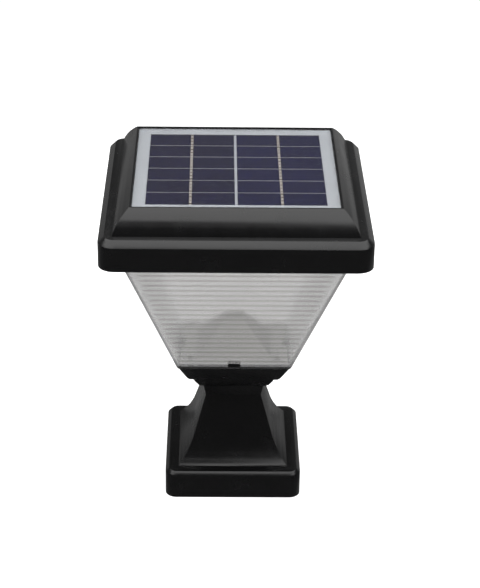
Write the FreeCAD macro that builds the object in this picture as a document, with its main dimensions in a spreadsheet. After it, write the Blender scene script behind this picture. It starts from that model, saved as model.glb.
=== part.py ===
import FreeCAD, Part
import math
import os
import Sketcher

# Solar deck post light: a square black hood with a solar panel, over a clear ribbed
# shade that tapers down to a moulded neck, a flared pedestal and a square foot.
# Origin: centre of the foot's underside. +Z up, +Y to the back. Millimetres.

SIZES = {
    # pedestal and foot
    "foot_width": 85.7,
    "foot_height": 18.2,
    "foot_corner": 7.0,
    "foot_chamfer": 2.26,
    "pedestal_rise": 42.8,
    "pedestal_root": 69.0,
    "cove_radius": 47.6,
    "cove_rise": 17.8,
    "cove_top": 49.5,
    "waist_width": 34.8,
    "shell_wall": 2.5,
    "joint_plate": 3.2,
    # neck, from the waist up: width and rise of each step of its moulding
    "collar_width": 37.6,
    "collar_rise": 7.0,
    "lower_step_width": 44.2,
    "lower_step_rise": 2.7,
    "lower_block_width": 49.8,
    "lower_block_rise": 4.7,
    "neck_groove_rise": 1.7,
    "upper_round_width": 55.2,
    "upper_round_rise": 0.6,
    "upper_block_width": 58.6,
    "upper_block_rise": 2.2,
    "neck_top_width": 67.4,
    "neck_top_rise": 8.4,
    "neck_wall": 3.2,
    "neck_mouth_depth": 2.0,
    # diffuser
    "diffuser_low_width": 69.54,
    "diffuser_show": 90.2,
    "diffuser_wall": 2.0,
    "diffuser_floor": 2.0,
    "rim_depth": 2.6,
    "rim_bevel": 1.6,
    "rib_pitch": 4.0,
    "rib_depth": 1.1,
    "rib_start": 6.0,
    "rib_margin": 5.0,
    "flange_inset": 2.3,
    "flange_thick": 2.0,
    "seal_thick": 0.8,
    "neck_seal_width": 1.5,
    # reflector on the diffuser's floor
    "reflector_gap": 0.2,
    "reflector_top": 10.0,
    "reflector_rise": 21.6,
    "reflector_wall": 1.2,
    "reflector_flange": 0.8,
    # snap tabs of the neck, in windows of the diffuser
    "tab_width": 7.5,
    "tab_thick": 1.4,
    "tab_rise": 4.2,
    "barb_height": 2.8,
    "barb_reach": 2.6,
    # hood
    "cap_width": 160.0,
    "cap_corner": 10.0,
    "cap_chamfer": 3.7,
    "skirt_wall": 2.5,
    "lip_wall": 2.5,
    "hood_overhang": 12.32,
    "lip_ledge": 8.2,
    "plinth_lean": 9.9,
    "plinth_rise": 14.1,
    "plinth_bulge": 32.0,
    "plinth_wall": 2.5,
    "plinth_inner_bulge": 2.6,
    "roof_wall": 2.0,
    # solar panel, from the hood's recess up
    "recess_rim": 1.15,
    "panel_side_margin": 7.6,
    "panel_end_margin": 7.375,
    "panel_sink": 1.1,
    "panel_glue_thick": 0.4,
    "panel_glue_width": 8.0,
    "backboard_thick": 1.0,
    "cell_thick": 0.25,
    "ribbon_thick": 0.15,
    "glaze_cover": 1.0,
    "cell_columns": 2,
    "cell_rows": 6,
    "column_gap": 1.6,
    "row_gap": 0.55,
    "cells_shift": 1.2,
    "ribbon_width": 1.5,
    # light tray and light source
    "tray_thick": 1.6,
    "tray_screw_inset": 16.3,
    "edge_gap": 0.98,
    "led_board_width": 60.0,
    "led_board_thick": 1.6,
    "led_screw_inset": 6.0,
    "led_columns": 4,
    "led_rows": 3,
    "led_spacing": 14.0,
    "led_length": 3.5,
    "led_width": 2.8,
    "led_height": 0.8,
    # control board
    "board_length": 60.0,
    "board_depth": 32.0,
    "board_back_gap": 1.5,
    "board_thick": 1.6,
    "board_lip_gap": 0.5,
    "board_screw_inset": 4.0,
    "board_screw_back_inset": 12.0,
    "socket_spacing": 16.0,
    "socket_length": 7.0,
    "socket_depth": 5.0,
    "socket_height": 4.4,
    "socket_inset": 2.0,
    "chip_gap": 6.0,
    "chip_height": 1.6,
    "capacitor_radius": 3.2,
    "capacitor_height": 7.0,
    "inductor_width": 7.0,
    "inductor_height": 4.0,
    # battery
    "cell_radius": 9.2,
    "battery_length": 65.0,
    "battery_inset": 26.3,
    "battery_headroom": 0.7,
    "holder_floor": 1.0,
    "holder_wall": 1.2,
    "holder_end": 2.0,
    "holder_height": 11.0,
    "contact_thick": 0.8,
    "contact_width": 9.0,
    "ear_length": 8.7,
    "ear_width": 8.0,
    "ear_lift": 4.8,
    "ear_thick": 1.5,
    # leads
    "lead_radius": 0.7,
    "lead_spacing": 2.8,
    "led_lead_y": 22.0,
    "panel_lead_y": 26.0,
    "battery_lead_x": 30.0,
    "battery_lead_drop": 4.4,
    "battery_lead_bend_y": 5.0,
    "battery_lead_end_bend_y": 18.0,
    "lead_hole_radius": 3.5,
    # switch
    "button_radius": 2.5,
    "button_collar_radius": 3.6,
    "button_collar_thick": 0.8,
    "button_proud": 1.4,
    "button_travel": 1.2,
    "plunger_radius": 1.2,
    "switch_roof": 1.4,
    "switch_width": 7.0,
    # screws: small ones for plastic, and the two that lock the foot to its bracket
    "screw_radius": 1.5,
    "screw_head_radius": 2.8,
    "screw_head_height": 1.8,
    "screw_slot_width": 0.8,
    "screw_slot_length": 3.4,
    "screw_slot_depth": 0.9,
    "hood_screw_length": 10.0,
    "tray_screw_length": 9.0,
    "led_screw_length": 6.0,
    "diffuser_screw_length": 9.5,
    "neck_screw_length": 10.5,
    "diffuser_screw_inset": 5.47,
    "neck_screw_inset": 7.9,
    "boss_wall": 1.9,
    "board_screw_length": 5.5,
    "holder_screw_length": 4.5,
    "lock_screw_radius": 2.0,
    "lock_head_radius": 3.8,
    "lock_head_height": 1.9,
    "lock_screw_length": 8.0,
    "lock_height": 8.0,
    # bracket on the post
    "bracket_width": 66.0,
    "bracket_thick": 1.5,
    "bracket_ear_width": 24.0,
    "bracket_ear_headroom": 2.7,
    "bracket_bend": 2.5,
    "post_hole_spacing": 50.0,
    "post_hole_radius": 2.5,
    "drain_radius": 3.0,
    # clearances
    "thread_gap": 0.05,
    "hole_gap": 0.3,
    "slip_gap": 0.3,
    "flange_gap": 1.0,
    "panel_gap": 0.25,
    "rest_gap": 0.1,
}

V = FreeCAD.Vector
doc = FreeCAD.newDocument("PostLight")
sheet = doc.addObject("Spreadsheet::Sheet", "Sizes")


class Size:
    """A size of the sheet, or one worked out from them: its expression and its value."""

    def __init__(self, text, value):
        self.text = text
        self.value = value

    def join(self, sign, other, value):
        return Size("(%s %s %s)" % (self.text, sign, other.text), value)

    def __add__(self, other):
        other = as_size(other)
        return self.join("+", other, self.value + other.value)

    def __sub__(self, other):
        other = as_size(other)
        return self.join("-", other, self.value - other.value)

    def __mul__(self, other):
        other = as_size(other)
        return self.join("*", other, self.value * other.value)

    def __truediv__(self, other):
        other = as_size(other)
        return self.join("/", other, self.value / other.value)

    def __radd__(self, other):
        return as_size(other) + self

    def __rsub__(self, other):
        return as_size(other) - self

    def __rmul__(self, other):
        return as_size(other) * self

    def __neg__(self):
        return Size("(0 - %s)" % self.text, -self.value)


def as_size(thing):
    """A plain number counts as a size of that value."""
    if isinstance(thing, Size):
        return thing
    return Size(repr(float(thing)), float(thing))


class Sheet:
    """Reads a size of the sheet by its name."""

    def __getattr__(self, alias):
        return Size("Sizes." + alias, SIZES[alias])


for row, (alias, value) in enumerate(SIZES.items(), start=1):
    sheet.set("A%d" % row, alias.replace("_", " "))
    sheet.set("B%d" % row, str(value))
    sheet.setAlias("B%d" % row, alias)
doc.recompute()

dim = Sheet()
parts = {}


def bind(thing, **sizes):
    """Tie properties of an object to sizes; a double underscore stands for a dot."""
    for path, size in sizes.items():
        thing.setExpression(path.replace("__", "."), as_size(size).text)


def place(thing, x=0.0, y=0.0, z=0.0):
    bind(thing, Placement__Base__x=x, Placement__Base__y=y, Placement__Base__z=z)
    return thing


def keep(label, thing):
    """Name a finished piece; its label names its file."""
    thing.Label = label
    parts[label] = thing
    return thing


def block(name, x, y, z):
    """A box between pairs of low and high limits."""
    piece = doc.addObject("Part::Box", name)
    bind(piece, Length=as_size(x[1]) - x[0], Width=as_size(y[1]) - y[0], Height=as_size(z[1]) - z[0])
    return place(piece, x[0], y[0], z[0])


def rod(name, radius, z, x=0.0, y=0.0):
    """An upright cylinder between two heights."""
    piece = doc.addObject("Part::Cylinder", name)
    bind(piece, Radius=radius, Height=as_size(z[1]) - z[0])
    return place(piece, x, y, z[0])


def cross_rod(name, radius, x, y, z):
    """A cylinder that lies along X between two limits."""
    piece = doc.addObject("Part::Cylinder", name)
    piece.Placement.Rotation = FreeCAD.Rotation(V(0, 1, 0), 90)
    bind(piece, Radius=radius, Height=as_size(x[1]) - x[0])
    return place(piece, x[0], y, z)


def fuse(name, *pieces):
    result = doc.addObject("Part::MultiFuse", name)
    result.Shapes = list(pieces)
    result.Refine = True
    return result


def cut(name, base, *tools):
    result = doc.addObject("Part::Cut", name)
    result.Base = base
    result.Tool = tools[0] if len(tools) == 1 else fuse(name + "Tools", *tools)
    result.Refine = True
    return result


def common(name, first, second):
    result = doc.addObject("Part::Common", name)
    result.Base = first
    result.Tool = second
    result.Refine = True
    return result


def group(name, *pieces):
    """Separate solids kept together as one sub-part."""
    result = doc.addObject("Part::Compound", name)
    result.Links = list(pieces)
    return result


def mirrored(name, piece, normal):
    result = doc.addObject("Part::Mirroring", name)
    result.Source = piece
    result.Normal = normal
    return result


def four_corners(name, piece):
    """The piece and its mirror images about the two upright middle planes."""
    across = mirrored(name + "Right", piece, V(1, 0, 0))
    behind = mirrored(name + "Back", piece, V(0, 1, 0))
    opposite = mirrored(name + "Far", across, V(0, 1, 0))
    return group(name, piece, across, behind, opposite)


def point_rules(geometry, end, x, y):
    """Constraints that hold a point of a sketch at x, y from its origin, with their sizes."""
    rules = []
    for kind, size in (("DistanceX", as_size(x)), ("DistanceY", as_size(y))):
        if size.value < 0:
            rules.append((Sketcher.Constraint(kind, geometry, end, -1, 1, -size.value), -size))
        else:
            rules.append((Sketcher.Constraint(kind, -1, 1, geometry, end, size.value), size))
    return rules


def add_rules(sketch, rules):
    """Add constraints together, then tie those that have a size to the sheet."""
    numbers = sketch.addConstraint([rule for rule, size in rules])
    for number, (rule, size) in zip(numbers, rules):
        if size is not None:
            sketch.setExpression("Constraints[%d]" % number, size.text)


def pin_circle(sketch, radius, x=0.0, y=0.0):
    radius, x, y = as_size(radius), as_size(x), as_size(y)
    circle = sketch.addGeometry(Part.Circle(V(x.value, y.value, 0), V(0, 0, 1), radius.value))
    rules = point_rules(circle, 3, x, y)
    rules.append((Sketcher.Constraint("Radius", circle, radius.value), radius))
    add_rules(sketch, rules)


def arc_between(start, finish, radius, to_right):
    """The short arc from start to finish whose centre lies to the left of the way, or to the right."""
    along = finish - start
    left = V(-along.y, along.x, 0).normalize()
    side = -1 if to_right else 1
    rise = math.sqrt(max(radius ** 2 - (along.Length / 2) ** 2, 0.0))
    middle = (start + finish) / 2 + left * (side * (rise - radius))
    return Part.Arc(start, middle, finish)


def pin_outline(sketch, corners):
    """A closed outline. A corner is (x, y), or (x, y, radius) where an arc leads to the next one:
    its centre lies to the left of the way there, or to the right if the radius is given as
    ("right", radius)."""
    runs = []
    rules = []
    for corner, after in zip(corners, corners[1:] + corners[:1]):
        start = V(as_size(corner[0]).value, as_size(corner[1]).value, 0)
        finish = V(as_size(after[0]).value, as_size(after[1]).value, 0)
        if len(corner) == 2:
            runs.append((sketch.addGeometry(Part.LineSegment(start, finish)), 1, 2))
            continue
        to_right = isinstance(corner[2], tuple)
        radius = as_size(corner[2][1] if to_right else corner[2])
        arc = sketch.addGeometry(arc_between(start, finish, radius.value, to_right))
        rules.append((Sketcher.Constraint("Radius", arc, radius.value), radius))
        runs.append((arc, 2, 1) if to_right else (arc, 1, 2))
    for corner, run, previous in zip(corners, runs, runs[-1:] + runs[:-1]):
        rules.append((Sketcher.Constraint("Coincident", previous[0], previous[2], run[0], run[1]), None))
        rules += point_rules(run[0], run[1], corner[0], corner[1])
    add_rules(sketch, rules)


def rounded_rectangle(half_x, half_y, radius):
    """Corners of a rectangle whose corners are quarter circles."""
    half_x, half_y = as_size(half_x), as_size(half_y)
    return [
        (half_x, radius - half_y),
        (half_x, half_y - radius, radius),
        (half_x - radius, half_y),
        (radius - half_x, half_y, radius),
        (-half_x, half_y - radius),
        (-half_x, radius - half_y, radius),
        (radius - half_x, -half_y),
        (half_x - radius, -half_y, radius),
    ]


def rectangle(half_x, half_y, x=0.0, y=0.0):
    x, y = as_size(x), as_size(y)
    return [
        (x - half_x, y - half_y),
        (x + half_x, y - half_y),
        (x + half_x, y + half_y),
        (x - half_x, y + half_y),
    ]


def slab(name, outlines, z, circles=()):
    """A plate between two heights, padded from a sketch of outlines and circles."""
    body = doc.addObject("PartDesign::Body", name)
    sketch = body.newObject("Sketcher::SketchObject", name + "Sketch")
    sketch.AttachmentSupport = (origin_plane(body, "XY_Plane"), [""])
    sketch.MapMode = "FlatFace"
    for corners in outlines:
        pin_outline(sketch, corners)
    for radius, x, y in circles:
        pin_circle(sketch, radius, x, y)
    pad = body.newObject("PartDesign::Pad", name + "Pad")
    pad.Profile = sketch
    bind(pad, Length=as_size(z[1]) - z[0])
    place(body, z=z[0])
    return body


def origin_plane(body, role):
    return next(plane for plane in body.Origin.OriginFeatures if plane.Role == role)


def top_chamfer(body, size):
    """Chamfer the outer edge of a slab's upper face."""
    doc.recompute()
    base = body.Tip
    top = base.Shape.BoundBox.ZMax
    edges = [
        "Edge%d" % (number + 1)
        for number, edge in enumerate(base.Shape.Edges)
        if abs(edge.BoundBox.ZMin - top) < 1e-6
    ]
    chamfer = body.newObject("PartDesign::Chamfer", body.Name + "Chamfer")
    chamfer.Base = (base, edges)
    bind(chamfer, Size=size)
    return body


FRONT_VIEW = FreeCAD.Rotation(V(1, 0, 0), 90)
SIDE_VIEW = FreeCAD.Rotation(V(1, 1, 1), 120)


def extrude(name, turn, outlines, reach):
    """Outlines drawn in an upright plane, extruded evenly to both sides of it."""
    sketch = doc.addObject("Sketcher::SketchObject", name + "Sketch")
    sketch.Placement = FreeCAD.Placement(V(0, 0, 0), turn)
    for corners in outlines:
        pin_outline(sketch, corners)
    piece = doc.addObject("Part::Extrusion", name)
    piece.Base = sketch
    piece.DirMode = "Normal"
    piece.Solid = True
    piece.Symmetric = True
    bind(piece, LengthFwd=as_size(reach) * 2)
    return piece


def both_sides(half):
    """A half outline, from the bottom up, closed by its mirror image."""
    image = []
    for index in range(len(half) - 1, -1, -1):
        x, height = half[index][0], half[index][1]
        bend = half[index - 1][2:] if index > 0 else ()
        image.append((-as_size(x), height) + tuple(bend))
    return list(half) + image


def mitred(name, half):
    """A square form with mitred corners: the same profile run through along X and along Y."""
    reach = max(as_size(corner[0]).value for corner in half)
    widest = next(corner[0] for corner in half if as_size(corner[0]).value == reach)
    outline = both_sides(half)
    along_y = extrude(name + "Front", FRONT_VIEW, [outline], as_size(widest) + 1)
    along_x = extrude(name + "Side", SIDE_VIEW, [outline], as_size(widest) + 1)
    return common(name, along_y, along_x)


def cross_recess(body, face):
    """Cut a screwdriver's cross into a screw's face."""
    recess = body.newObject("Sketcher::SketchObject", body.Name + "Recess")
    recess.AttachmentSupport = (origin_plane(body, "XY_Plane"), [""])
    recess.MapMode = "FlatFace"
    bind(recess, AttachmentOffset__Base__z=face)
    arm = dim.screw_slot_length / 2
    wide = dim.screw_slot_width / 2
    pin_outline(recess, [
        (arm, -wide), (arm, wide), (wide, wide), (wide, arm), (-wide, arm), (-wide, wide),
        (-arm, wide), (-arm, -wide), (-wide, -wide), (-wide, -arm), (wide, -arm), (wide, -wide),
    ])
    pocket = body.newObject("PartDesign::Pocket", body.Name + "Pocket")
    pocket.Profile = recess
    bind(pocket, Length=dim.screw_slot_depth)


def screw(name, length, seat, x=0.0, y=0.0, shank_up=False):
    """A pan head screw with a cross recess; its head sits on the seat height."""
    radius, head, height = dim.screw_radius, dim.screw_head_radius, dim.screw_head_height
    body = doc.addObject("PartDesign::Body", name)
    profile = body.newObject("Sketcher::SketchObject", name + "Profile")
    profile.AttachmentSupport = (origin_plane(body, "XZ_Plane"), [""])
    profile.MapMode = "FlatFace"
    pin_outline(profile, [
        (0, -length),
        (radius * 0.5, -length),
        (radius, radius - length),
        (radius, 0),
        (head, 0),
        (head, height * 0.4),
        (head * 0.72, height),
        (0, height),
    ])
    turned = body.newObject("PartDesign::Revolution", name + "Turned")
    turned.Profile = profile
    turned.ReferenceAxis = (profile, ["V_Axis"])
    turned.Angle = 360
    cross_recess(body, height)
    if shank_up:
        body.Placement.Rotation = FreeCAD.Rotation(V(1, 0, 0), 180)
    return place(body, x, y, seat)


def lead(name, points):
    """An insulated wire of straight runs joined by tangent arcs, each as large as its runs allow."""
    edges = []
    here = points[0]
    for before, corner, after in zip(points, points[1:], points[2:]):
        way_in = corner - before
        way_out = after - corner
        turn = way_in.getAngle(way_out)
        reach = 0.45 * min(way_in.Length, way_out.Length)
        radius = reach / math.tan(turn / 2)
        start = corner - way_in.normalize() * reach
        finish = corner + way_out.normalize() * reach
        to_centre = (start + finish) / 2 - corner
        distance = math.hypot(reach, radius)
        middle = corner + to_centre.normalize() * (distance - radius)
        edges += [Part.LineSegment(here, start).toShape(), Part.Arc(start, middle, finish).toShape()]
        here = finish
        print("%s bend radius %.1f" % (name, radius))
    edges.append(Part.LineSegment(here, points[-1]).toShape())
    path = Part.Wire(edges)
    section = Part.Wire(Part.Circle(points[0], points[1] - points[0], SIZES["lead_radius"]).toShape())
    tube = path.makePipeShell([section], True, False)
    full_volume = math.pi * SIZES["lead_radius"] ** 2 * path.Length
    print("%s volume share %.4f" % (name, tube.Volume / full_volume))
    piece = doc.addObject("Part::Feature", name)
    piece.Shape = tube
    return piece


# Heights of the main joints, from the ground up.
pedestal_top = dim.foot_height + dim.pedestal_rise
collar_top = pedestal_top + dim.collar_rise
lower_step_top = collar_top + dim.lower_step_rise
lower_block_top = lower_step_top + dim.lower_block_rise
groove_top = lower_block_top + dim.neck_groove_rise
upper_round_top = groove_top + dim.upper_round_rise
upper_block_top = upper_round_top + dim.upper_block_rise
neck_top = upper_block_top + dim.neck_top_rise
floor_under = neck_top + dim.rim_depth
floor_top = floor_under + dim.diffuser_floor
spigot_top = floor_under - dim.seal_thick
skirt_base = neck_top + dim.diffuser_show
flange_under = skirt_base + dim.flange_inset
flange_top = flange_under + dim.flange_thick
tray_under = flange_top + dim.seal_thick
tray_top = tray_under + dim.tray_thick
cell_under = tray_top + dim.holder_floor + dim.rest_gap
roof_under = cell_under + dim.cell_radius * 2 + dim.battery_headroom
recess_floor = roof_under + dim.roof_wall
backboard_under = recess_floor + dim.panel_glue_thick
backboard_top = backboard_under + dim.backboard_thick
cells_top = backboard_top + dim.cell_thick
panel_top = cells_top + dim.ribbon_thick + dim.glaze_cover
plinth_top = panel_top + dim.panel_sink
lip_top = plinth_top - dim.plinth_rise
lip_under = lip_top - dim.lip_wall

# Half widths that follow from the hood: the shade's top, the plinth and the panel.
cap_half = dim.cap_width / 2
diffuser_high_half = cap_half - dim.hood_overhang
plinth_low_half = cap_half - dim.lip_ledge
plinth_top_half = plinth_low_half - dim.plinth_lean
recess_half = plinth_top_half - dim.recess_rim
panel_half = recess_half - dim.panel_gap
diffuser_lean = (diffuser_high_half - dim.diffuser_low_width / 2) / dim.diffuser_show


def diffuser_half(height):
    """Half the diffuser's outer width at a height."""
    return dim.diffuser_low_width / 2 + (height - neck_top) * diffuser_lean


# Shared places of screws and bosses.
boss_radius = dim.screw_radius + dim.boss_wall
screw_hole = dim.screw_radius + dim.thread_gap
screw_pass = dim.screw_radius + dim.hole_gap
edge_reach = diffuser_half(flange_under) + dim.screw_head_radius + dim.edge_gap
tray_screw_reach = edge_reach - dim.tray_screw_inset
spigot_half = dim.diffuser_low_width / 2 - dim.diffuser_wall - dim.slip_gap
diffuser_screw_reach = spigot_half - dim.diffuser_screw_inset
neck_screw_reach = dim.waist_width / 2 - dim.neck_screw_inset
sides = ((-1, -1), (1, -1), (1, 1), (-1, 1))


def corner_circles(radius, reach):
    return [(radius, reach * x, reach * y) for x, y in sides]


def corner_rods(name, radius, z, reach_x, reach_y=None):
    reach_y = reach_x if reach_y is None else reach_y
    return [
        rod("%s%d" % (name, number), radius, z, as_size(reach_x) * x, as_size(reach_y) * y)
        for number, (x, y) in enumerate(sides)
    ]


# Pedestal: one hollow moulding of the square foot, the cove and the tapering column.
foot_half = dim.foot_width / 2
foot_outer = top_chamfer(
    slab("FootOuter", [rounded_rectangle(foot_half, foot_half, dim.foot_corner)], (0, dim.foot_height)),
    dim.foot_chamfer,
)
cove_top_height = dim.foot_height + dim.cove_rise
column_outer = mitred("ColumnOuter", [
    (dim.pedestal_root / 2, dim.foot_height - dim.shell_wall),
    (dim.pedestal_root / 2, dim.foot_height, ("right", dim.cove_radius)),
    (dim.cove_top / 2, cove_top_height),
    (dim.waist_width / 2, pedestal_top),
])
foot_inner_half = foot_half - dim.shell_wall
foot_inner_corner = dim.foot_corner - dim.shell_wall
foot_inner = slab(
    "FootInner",
    [rounded_rectangle(foot_inner_half, foot_inner_half, foot_inner_corner)],
    (-1, dim.foot_height - dim.shell_wall),
)
column_plate_under = pedestal_top - dim.joint_plate
column_inner = mitred("ColumnInner", [
    (dim.pedestal_root / 2 - dim.shell_wall * 1.4, dim.foot_height - dim.shell_wall - 1),
    (dim.pedestal_root / 2 - dim.shell_wall * 1.4, dim.foot_height - dim.shell_wall),
    (dim.cove_top / 2 - dim.shell_wall, cove_top_height),
    (dim.waist_width / 2 - dim.shell_wall, column_plate_under),
])
neck_boss_under = pedestal_top - dim.neck_screw_length
pedestal_hollow = cut(
    "PedestalHollow",
    fuse("PedestalOuter", foot_outer, column_outer),
    foot_inner,
    column_inner,
)
pedestal_bossed = fuse(
    "PedestalBossed",
    pedestal_hollow,
    *corner_rods("PedestalBoss", boss_radius, (neck_boss_under, column_plate_under + 1), neck_screw_reach)
)
lock_sink = doc.addObject("Part::Cone", "LockSink")
lock_sink.Placement.Rotation = FreeCAD.Rotation(V(0, 1, 0), 90)
bind(
    lock_sink,
    Radius1=dim.lock_screw_radius + dim.rest_gap,
    Radius2=dim.lock_head_radius + dim.rest_gap,
    Height=dim.lock_head_height,
)
place(lock_sink, foot_half - dim.lock_head_height, 0, dim.lock_height)
keep("pedestal", cut(
    "Pedestal",
    pedestal_bossed,
    rod("PedestalDrain", dim.drain_radius, (column_plate_under - 1, pedestal_top + 1)),
    cross_rod(
        "LockPass", dim.lock_screw_radius + dim.hole_gap,
        (-foot_half - 1, foot_half + 1), 0, dim.lock_height,
    ),
    lock_sink,
    mirrored("LockSinkLeft", lock_sink, V(1, 0, 0)),
    *corner_rods("PedestalHole", screw_hole, (neck_boss_under - 1, pedestal_top + 1), neck_screw_reach)
))

# Bracket: sheet steel screwed to the post, with an upturned ear at each side.
ear_face = foot_inner_half - dim.slip_gap
ear_inner = ear_face - dim.bracket_thick
ear_height = dim.foot_height - dim.shell_wall - dim.bracket_ear_headroom
bend = dim.bracket_bend
bracket_strap = extrude("BracketStrap", FRONT_VIEW, [[
    (bend - ear_face, 0),
    (ear_face - bend, 0, bend),
    (ear_face, bend),
    (ear_face, ear_height),
    (ear_inner, ear_height),
    (ear_inner, bend, ("right", bend - dim.bracket_thick)),
    (ear_face - bend, dim.bracket_thick),
    (bend - ear_face, dim.bracket_thick, ("right", bend - dim.bracket_thick)),
    (-ear_inner, bend),
    (-ear_inner, ear_height),
    (-ear_face, ear_height),
    (-ear_face, bend, bend),
]], dim.bracket_ear_width / 2)
bracket_half = dim.bracket_width / 2
bracket_plate = slab(
    "BracketPlate",
    [rounded_rectangle(bracket_half, bracket_half, dim.foot_corner)],
    (0, dim.bracket_thick),
)
keep("mounting_bracket", cut(
    "MountingBracket",
    fuse("BracketSheet", bracket_strap, bracket_plate),
    cross_rod(
        "BracketThread", dim.lock_screw_radius + dim.thread_gap,
        (-ear_face - 1, ear_face + 1), 0, dim.lock_height,
    ),
    *corner_rods("PostHole", dim.post_hole_radius, (-1, dim.bracket_thick + 1), dim.post_hole_spacing / 2)
))

# Locking screws: countersunk flush in the foot's left and right walls, into the bracket's ears.
lock_screw = doc.addObject("PartDesign::Body", "LockScrew")
lock_profile = lock_screw.newObject("Sketcher::SketchObject", "LockProfile")
lock_profile.AttachmentSupport = (origin_plane(lock_screw, "XZ_Plane"), [""])
lock_profile.MapMode = "FlatFace"
pin_outline(lock_profile, [
    (0, -dim.lock_screw_length),
    (dim.lock_screw_radius * 0.6, -dim.lock_screw_length),
    (dim.lock_screw_radius, dim.lock_screw_radius - dim.lock_screw_length),
    (dim.lock_screw_radius, -dim.lock_head_height),
    (dim.lock_head_radius, 0),
    (0, 0),
])
lock_turned = lock_screw.newObject("PartDesign::Revolution", "LockTurned")
lock_turned.Profile = lock_profile
lock_turned.ReferenceAxis = (lock_profile, ["V_Axis"])
lock_turned.Angle = 360
cross_recess(lock_screw, 0)
lock_screw.Placement.Rotation = FreeCAD.Rotation(V(0, 1, 0), 90)
place(lock_screw, foot_half - dim.rest_gap, 0, dim.lock_height)
left_lock_screw = mirrored("LockScrewLeft", lock_screw, V(1, 0, 0))
keep("locking_screws", group("LockingScrews", lock_screw, left_lock_screw))

# Neck: an open cup in steps, with bosses for the diffuser's screws and four snap tabs.
neck_outer = mitred("NeckOuter", [
    (dim.waist_width / 2, pedestal_top),
    (dim.collar_width / 2, collar_top),
    (dim.lower_step_width / 2, lower_step_top),
    (dim.lower_block_width / 2, lower_block_top),
    (dim.lower_block_width / 2, groove_top),
    (dim.upper_round_width / 2, upper_round_top),
    (dim.upper_block_width / 2, upper_block_top),
    (dim.neck_top_width / 2, neck_top),
    (spigot_half, neck_top),
    (spigot_half, spigot_top),
])
neck_floor_top = pedestal_top + dim.joint_plate
neck_mouth_half = spigot_half - dim.neck_wall - dim.neck_seal_width / 2
neck_inner = mitred("NeckInner", [
    (dim.waist_width / 2 - dim.neck_wall, neck_floor_top),
    (dim.collar_width / 2 - dim.neck_wall, collar_top),
    (dim.lower_block_width / 2 - dim.neck_wall, groove_top),
    (dim.upper_block_width / 2 - dim.neck_wall, upper_block_top),
    (neck_mouth_half, spigot_top - dim.neck_mouth_depth),
    (neck_mouth_half, spigot_top + 1),
])
diffuser_hole_under = floor_top - dim.diffuser_screw_length
tab_half = dim.tab_width / 2
barb_top = spigot_top + dim.tab_rise
snap_tabs = []
for number, turn in enumerate((0, 90, 180, 270)):
    tab = extrude("SnapTab%d" % number, SIDE_VIEW, [[
        (dim.tab_thick - spigot_half, spigot_top - 1),
        (dim.tab_thick - spigot_half, barb_top),
        (-spigot_half, barb_top),
        (-spigot_half - dim.barb_reach, barb_top - dim.barb_height / 2),
        (-spigot_half - dim.barb_reach, barb_top - dim.barb_height),
        (-spigot_half, barb_top - dim.barb_height),
        (-spigot_half, spigot_top - 1),
    ]], tab_half)
    tab.Placement.Rotation = FreeCAD.Rotation(V(0, 0, 1), turn)
    snap_tabs.append(tab)
neck_cup = fuse(
    "NeckCup",
    cut("NeckShell", neck_outer, neck_inner),
    common(
        "NeckBosses",
        neck_outer,
        group(
            "NeckBossRods",
            *corner_rods("NeckBoss", boss_radius, (pedestal_top, spigot_top), diffuser_screw_reach)
        ),
    ),
    *snap_tabs
)
keep("neck", cut(
    "Neck",
    neck_cup,
    rod("NeckDrain", dim.drain_radius, (pedestal_top - 1, neck_floor_top + 1)),
    *corner_rods("NeckHole", screw_hole, (diffuser_hole_under - 1, spigot_top + 1), diffuser_screw_reach),
    *corner_rods("NeckPass", screw_pass, (pedestal_top - 1, neck_floor_top + 1), neck_screw_reach)
))
keep("neck_screws", four_corners(
    "NeckScrews",
    screw("NeckScrew", dim.neck_screw_length, neck_floor_top, -neck_screw_reach, -neck_screw_reach),
))

# Seal between the neck's rim and the diffuser's floor, inside the snap tabs.
neck_seal_half = spigot_half - dim.tab_thick - dim.slip_gap
neck_seal_inner = neck_seal_half - dim.neck_seal_width
keep("neck_seal", slab(
    "NeckSeal",
    [rectangle(neck_seal_half, neck_seal_half), rectangle(neck_seal_inner, neck_seal_inner)],
    (spigot_top, floor_under),
))

# Diffuser: clear tapering shade with a floor, a rim round the neck's spigot, a top flange,
# and horizontal ribs on the inside of each wall that stop short of the corners.
flange_half = cap_half - dim.skirt_wall - dim.flange_gap
flange_corner = dim.cap_corner - dim.skirt_wall - dim.flange_gap
low_half = dim.diffuser_low_width / 2
diffuser_skin = mitred("DiffuserSkin", [
    (low_half - dim.rim_bevel, neck_top),
    (low_half + dim.rim_bevel * diffuser_lean, neck_top + dim.rim_bevel),
    (diffuser_half(flange_top), flange_top),
])
diffuser_flange = slab(
    "DiffuserFlange",
    [rounded_rectangle(flange_half, flange_half, flange_corner)],
    (flange_under, flange_top),
)
diffuser_inner = mitred("DiffuserInner", [
    (diffuser_half(floor_top) - dim.diffuser_wall, floor_top),
    (diffuser_half(flange_top) - dim.diffuser_wall, flange_top),
    (diffuser_half(flange_top) - dim.diffuser_wall, flange_top + 1),
])
rim_half = spigot_half + dim.slip_gap
rim_hollow = block("RimHollow", (-rim_half, rim_half), (-rim_half, rim_half), (neck_top - 1, floor_under))
rib_base = neck_top + dim.rib_start
rib_root = dim.diffuser_wall / 2
rib_count = int((SIZES["diffuser_show"] - SIZES["rib_start"]) / SIZES["rib_pitch"])
rib_top = rib_base + dim.rib_pitch * rib_count
rib_teeth = [
    (rib_root - diffuser_half(rib_top), rib_top),
    (rib_root - diffuser_half(rib_base), rib_base),
]
for number in range(rib_count):
    tooth_foot = rib_base + dim.rib_pitch * number
    tooth_top = tooth_foot + dim.rib_pitch
    rib_teeth.append((dim.diffuser_wall - diffuser_half(tooth_foot), tooth_foot))
    rib_teeth.append((dim.diffuser_wall + dim.rib_depth - diffuser_half(tooth_top), tooth_top))
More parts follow.
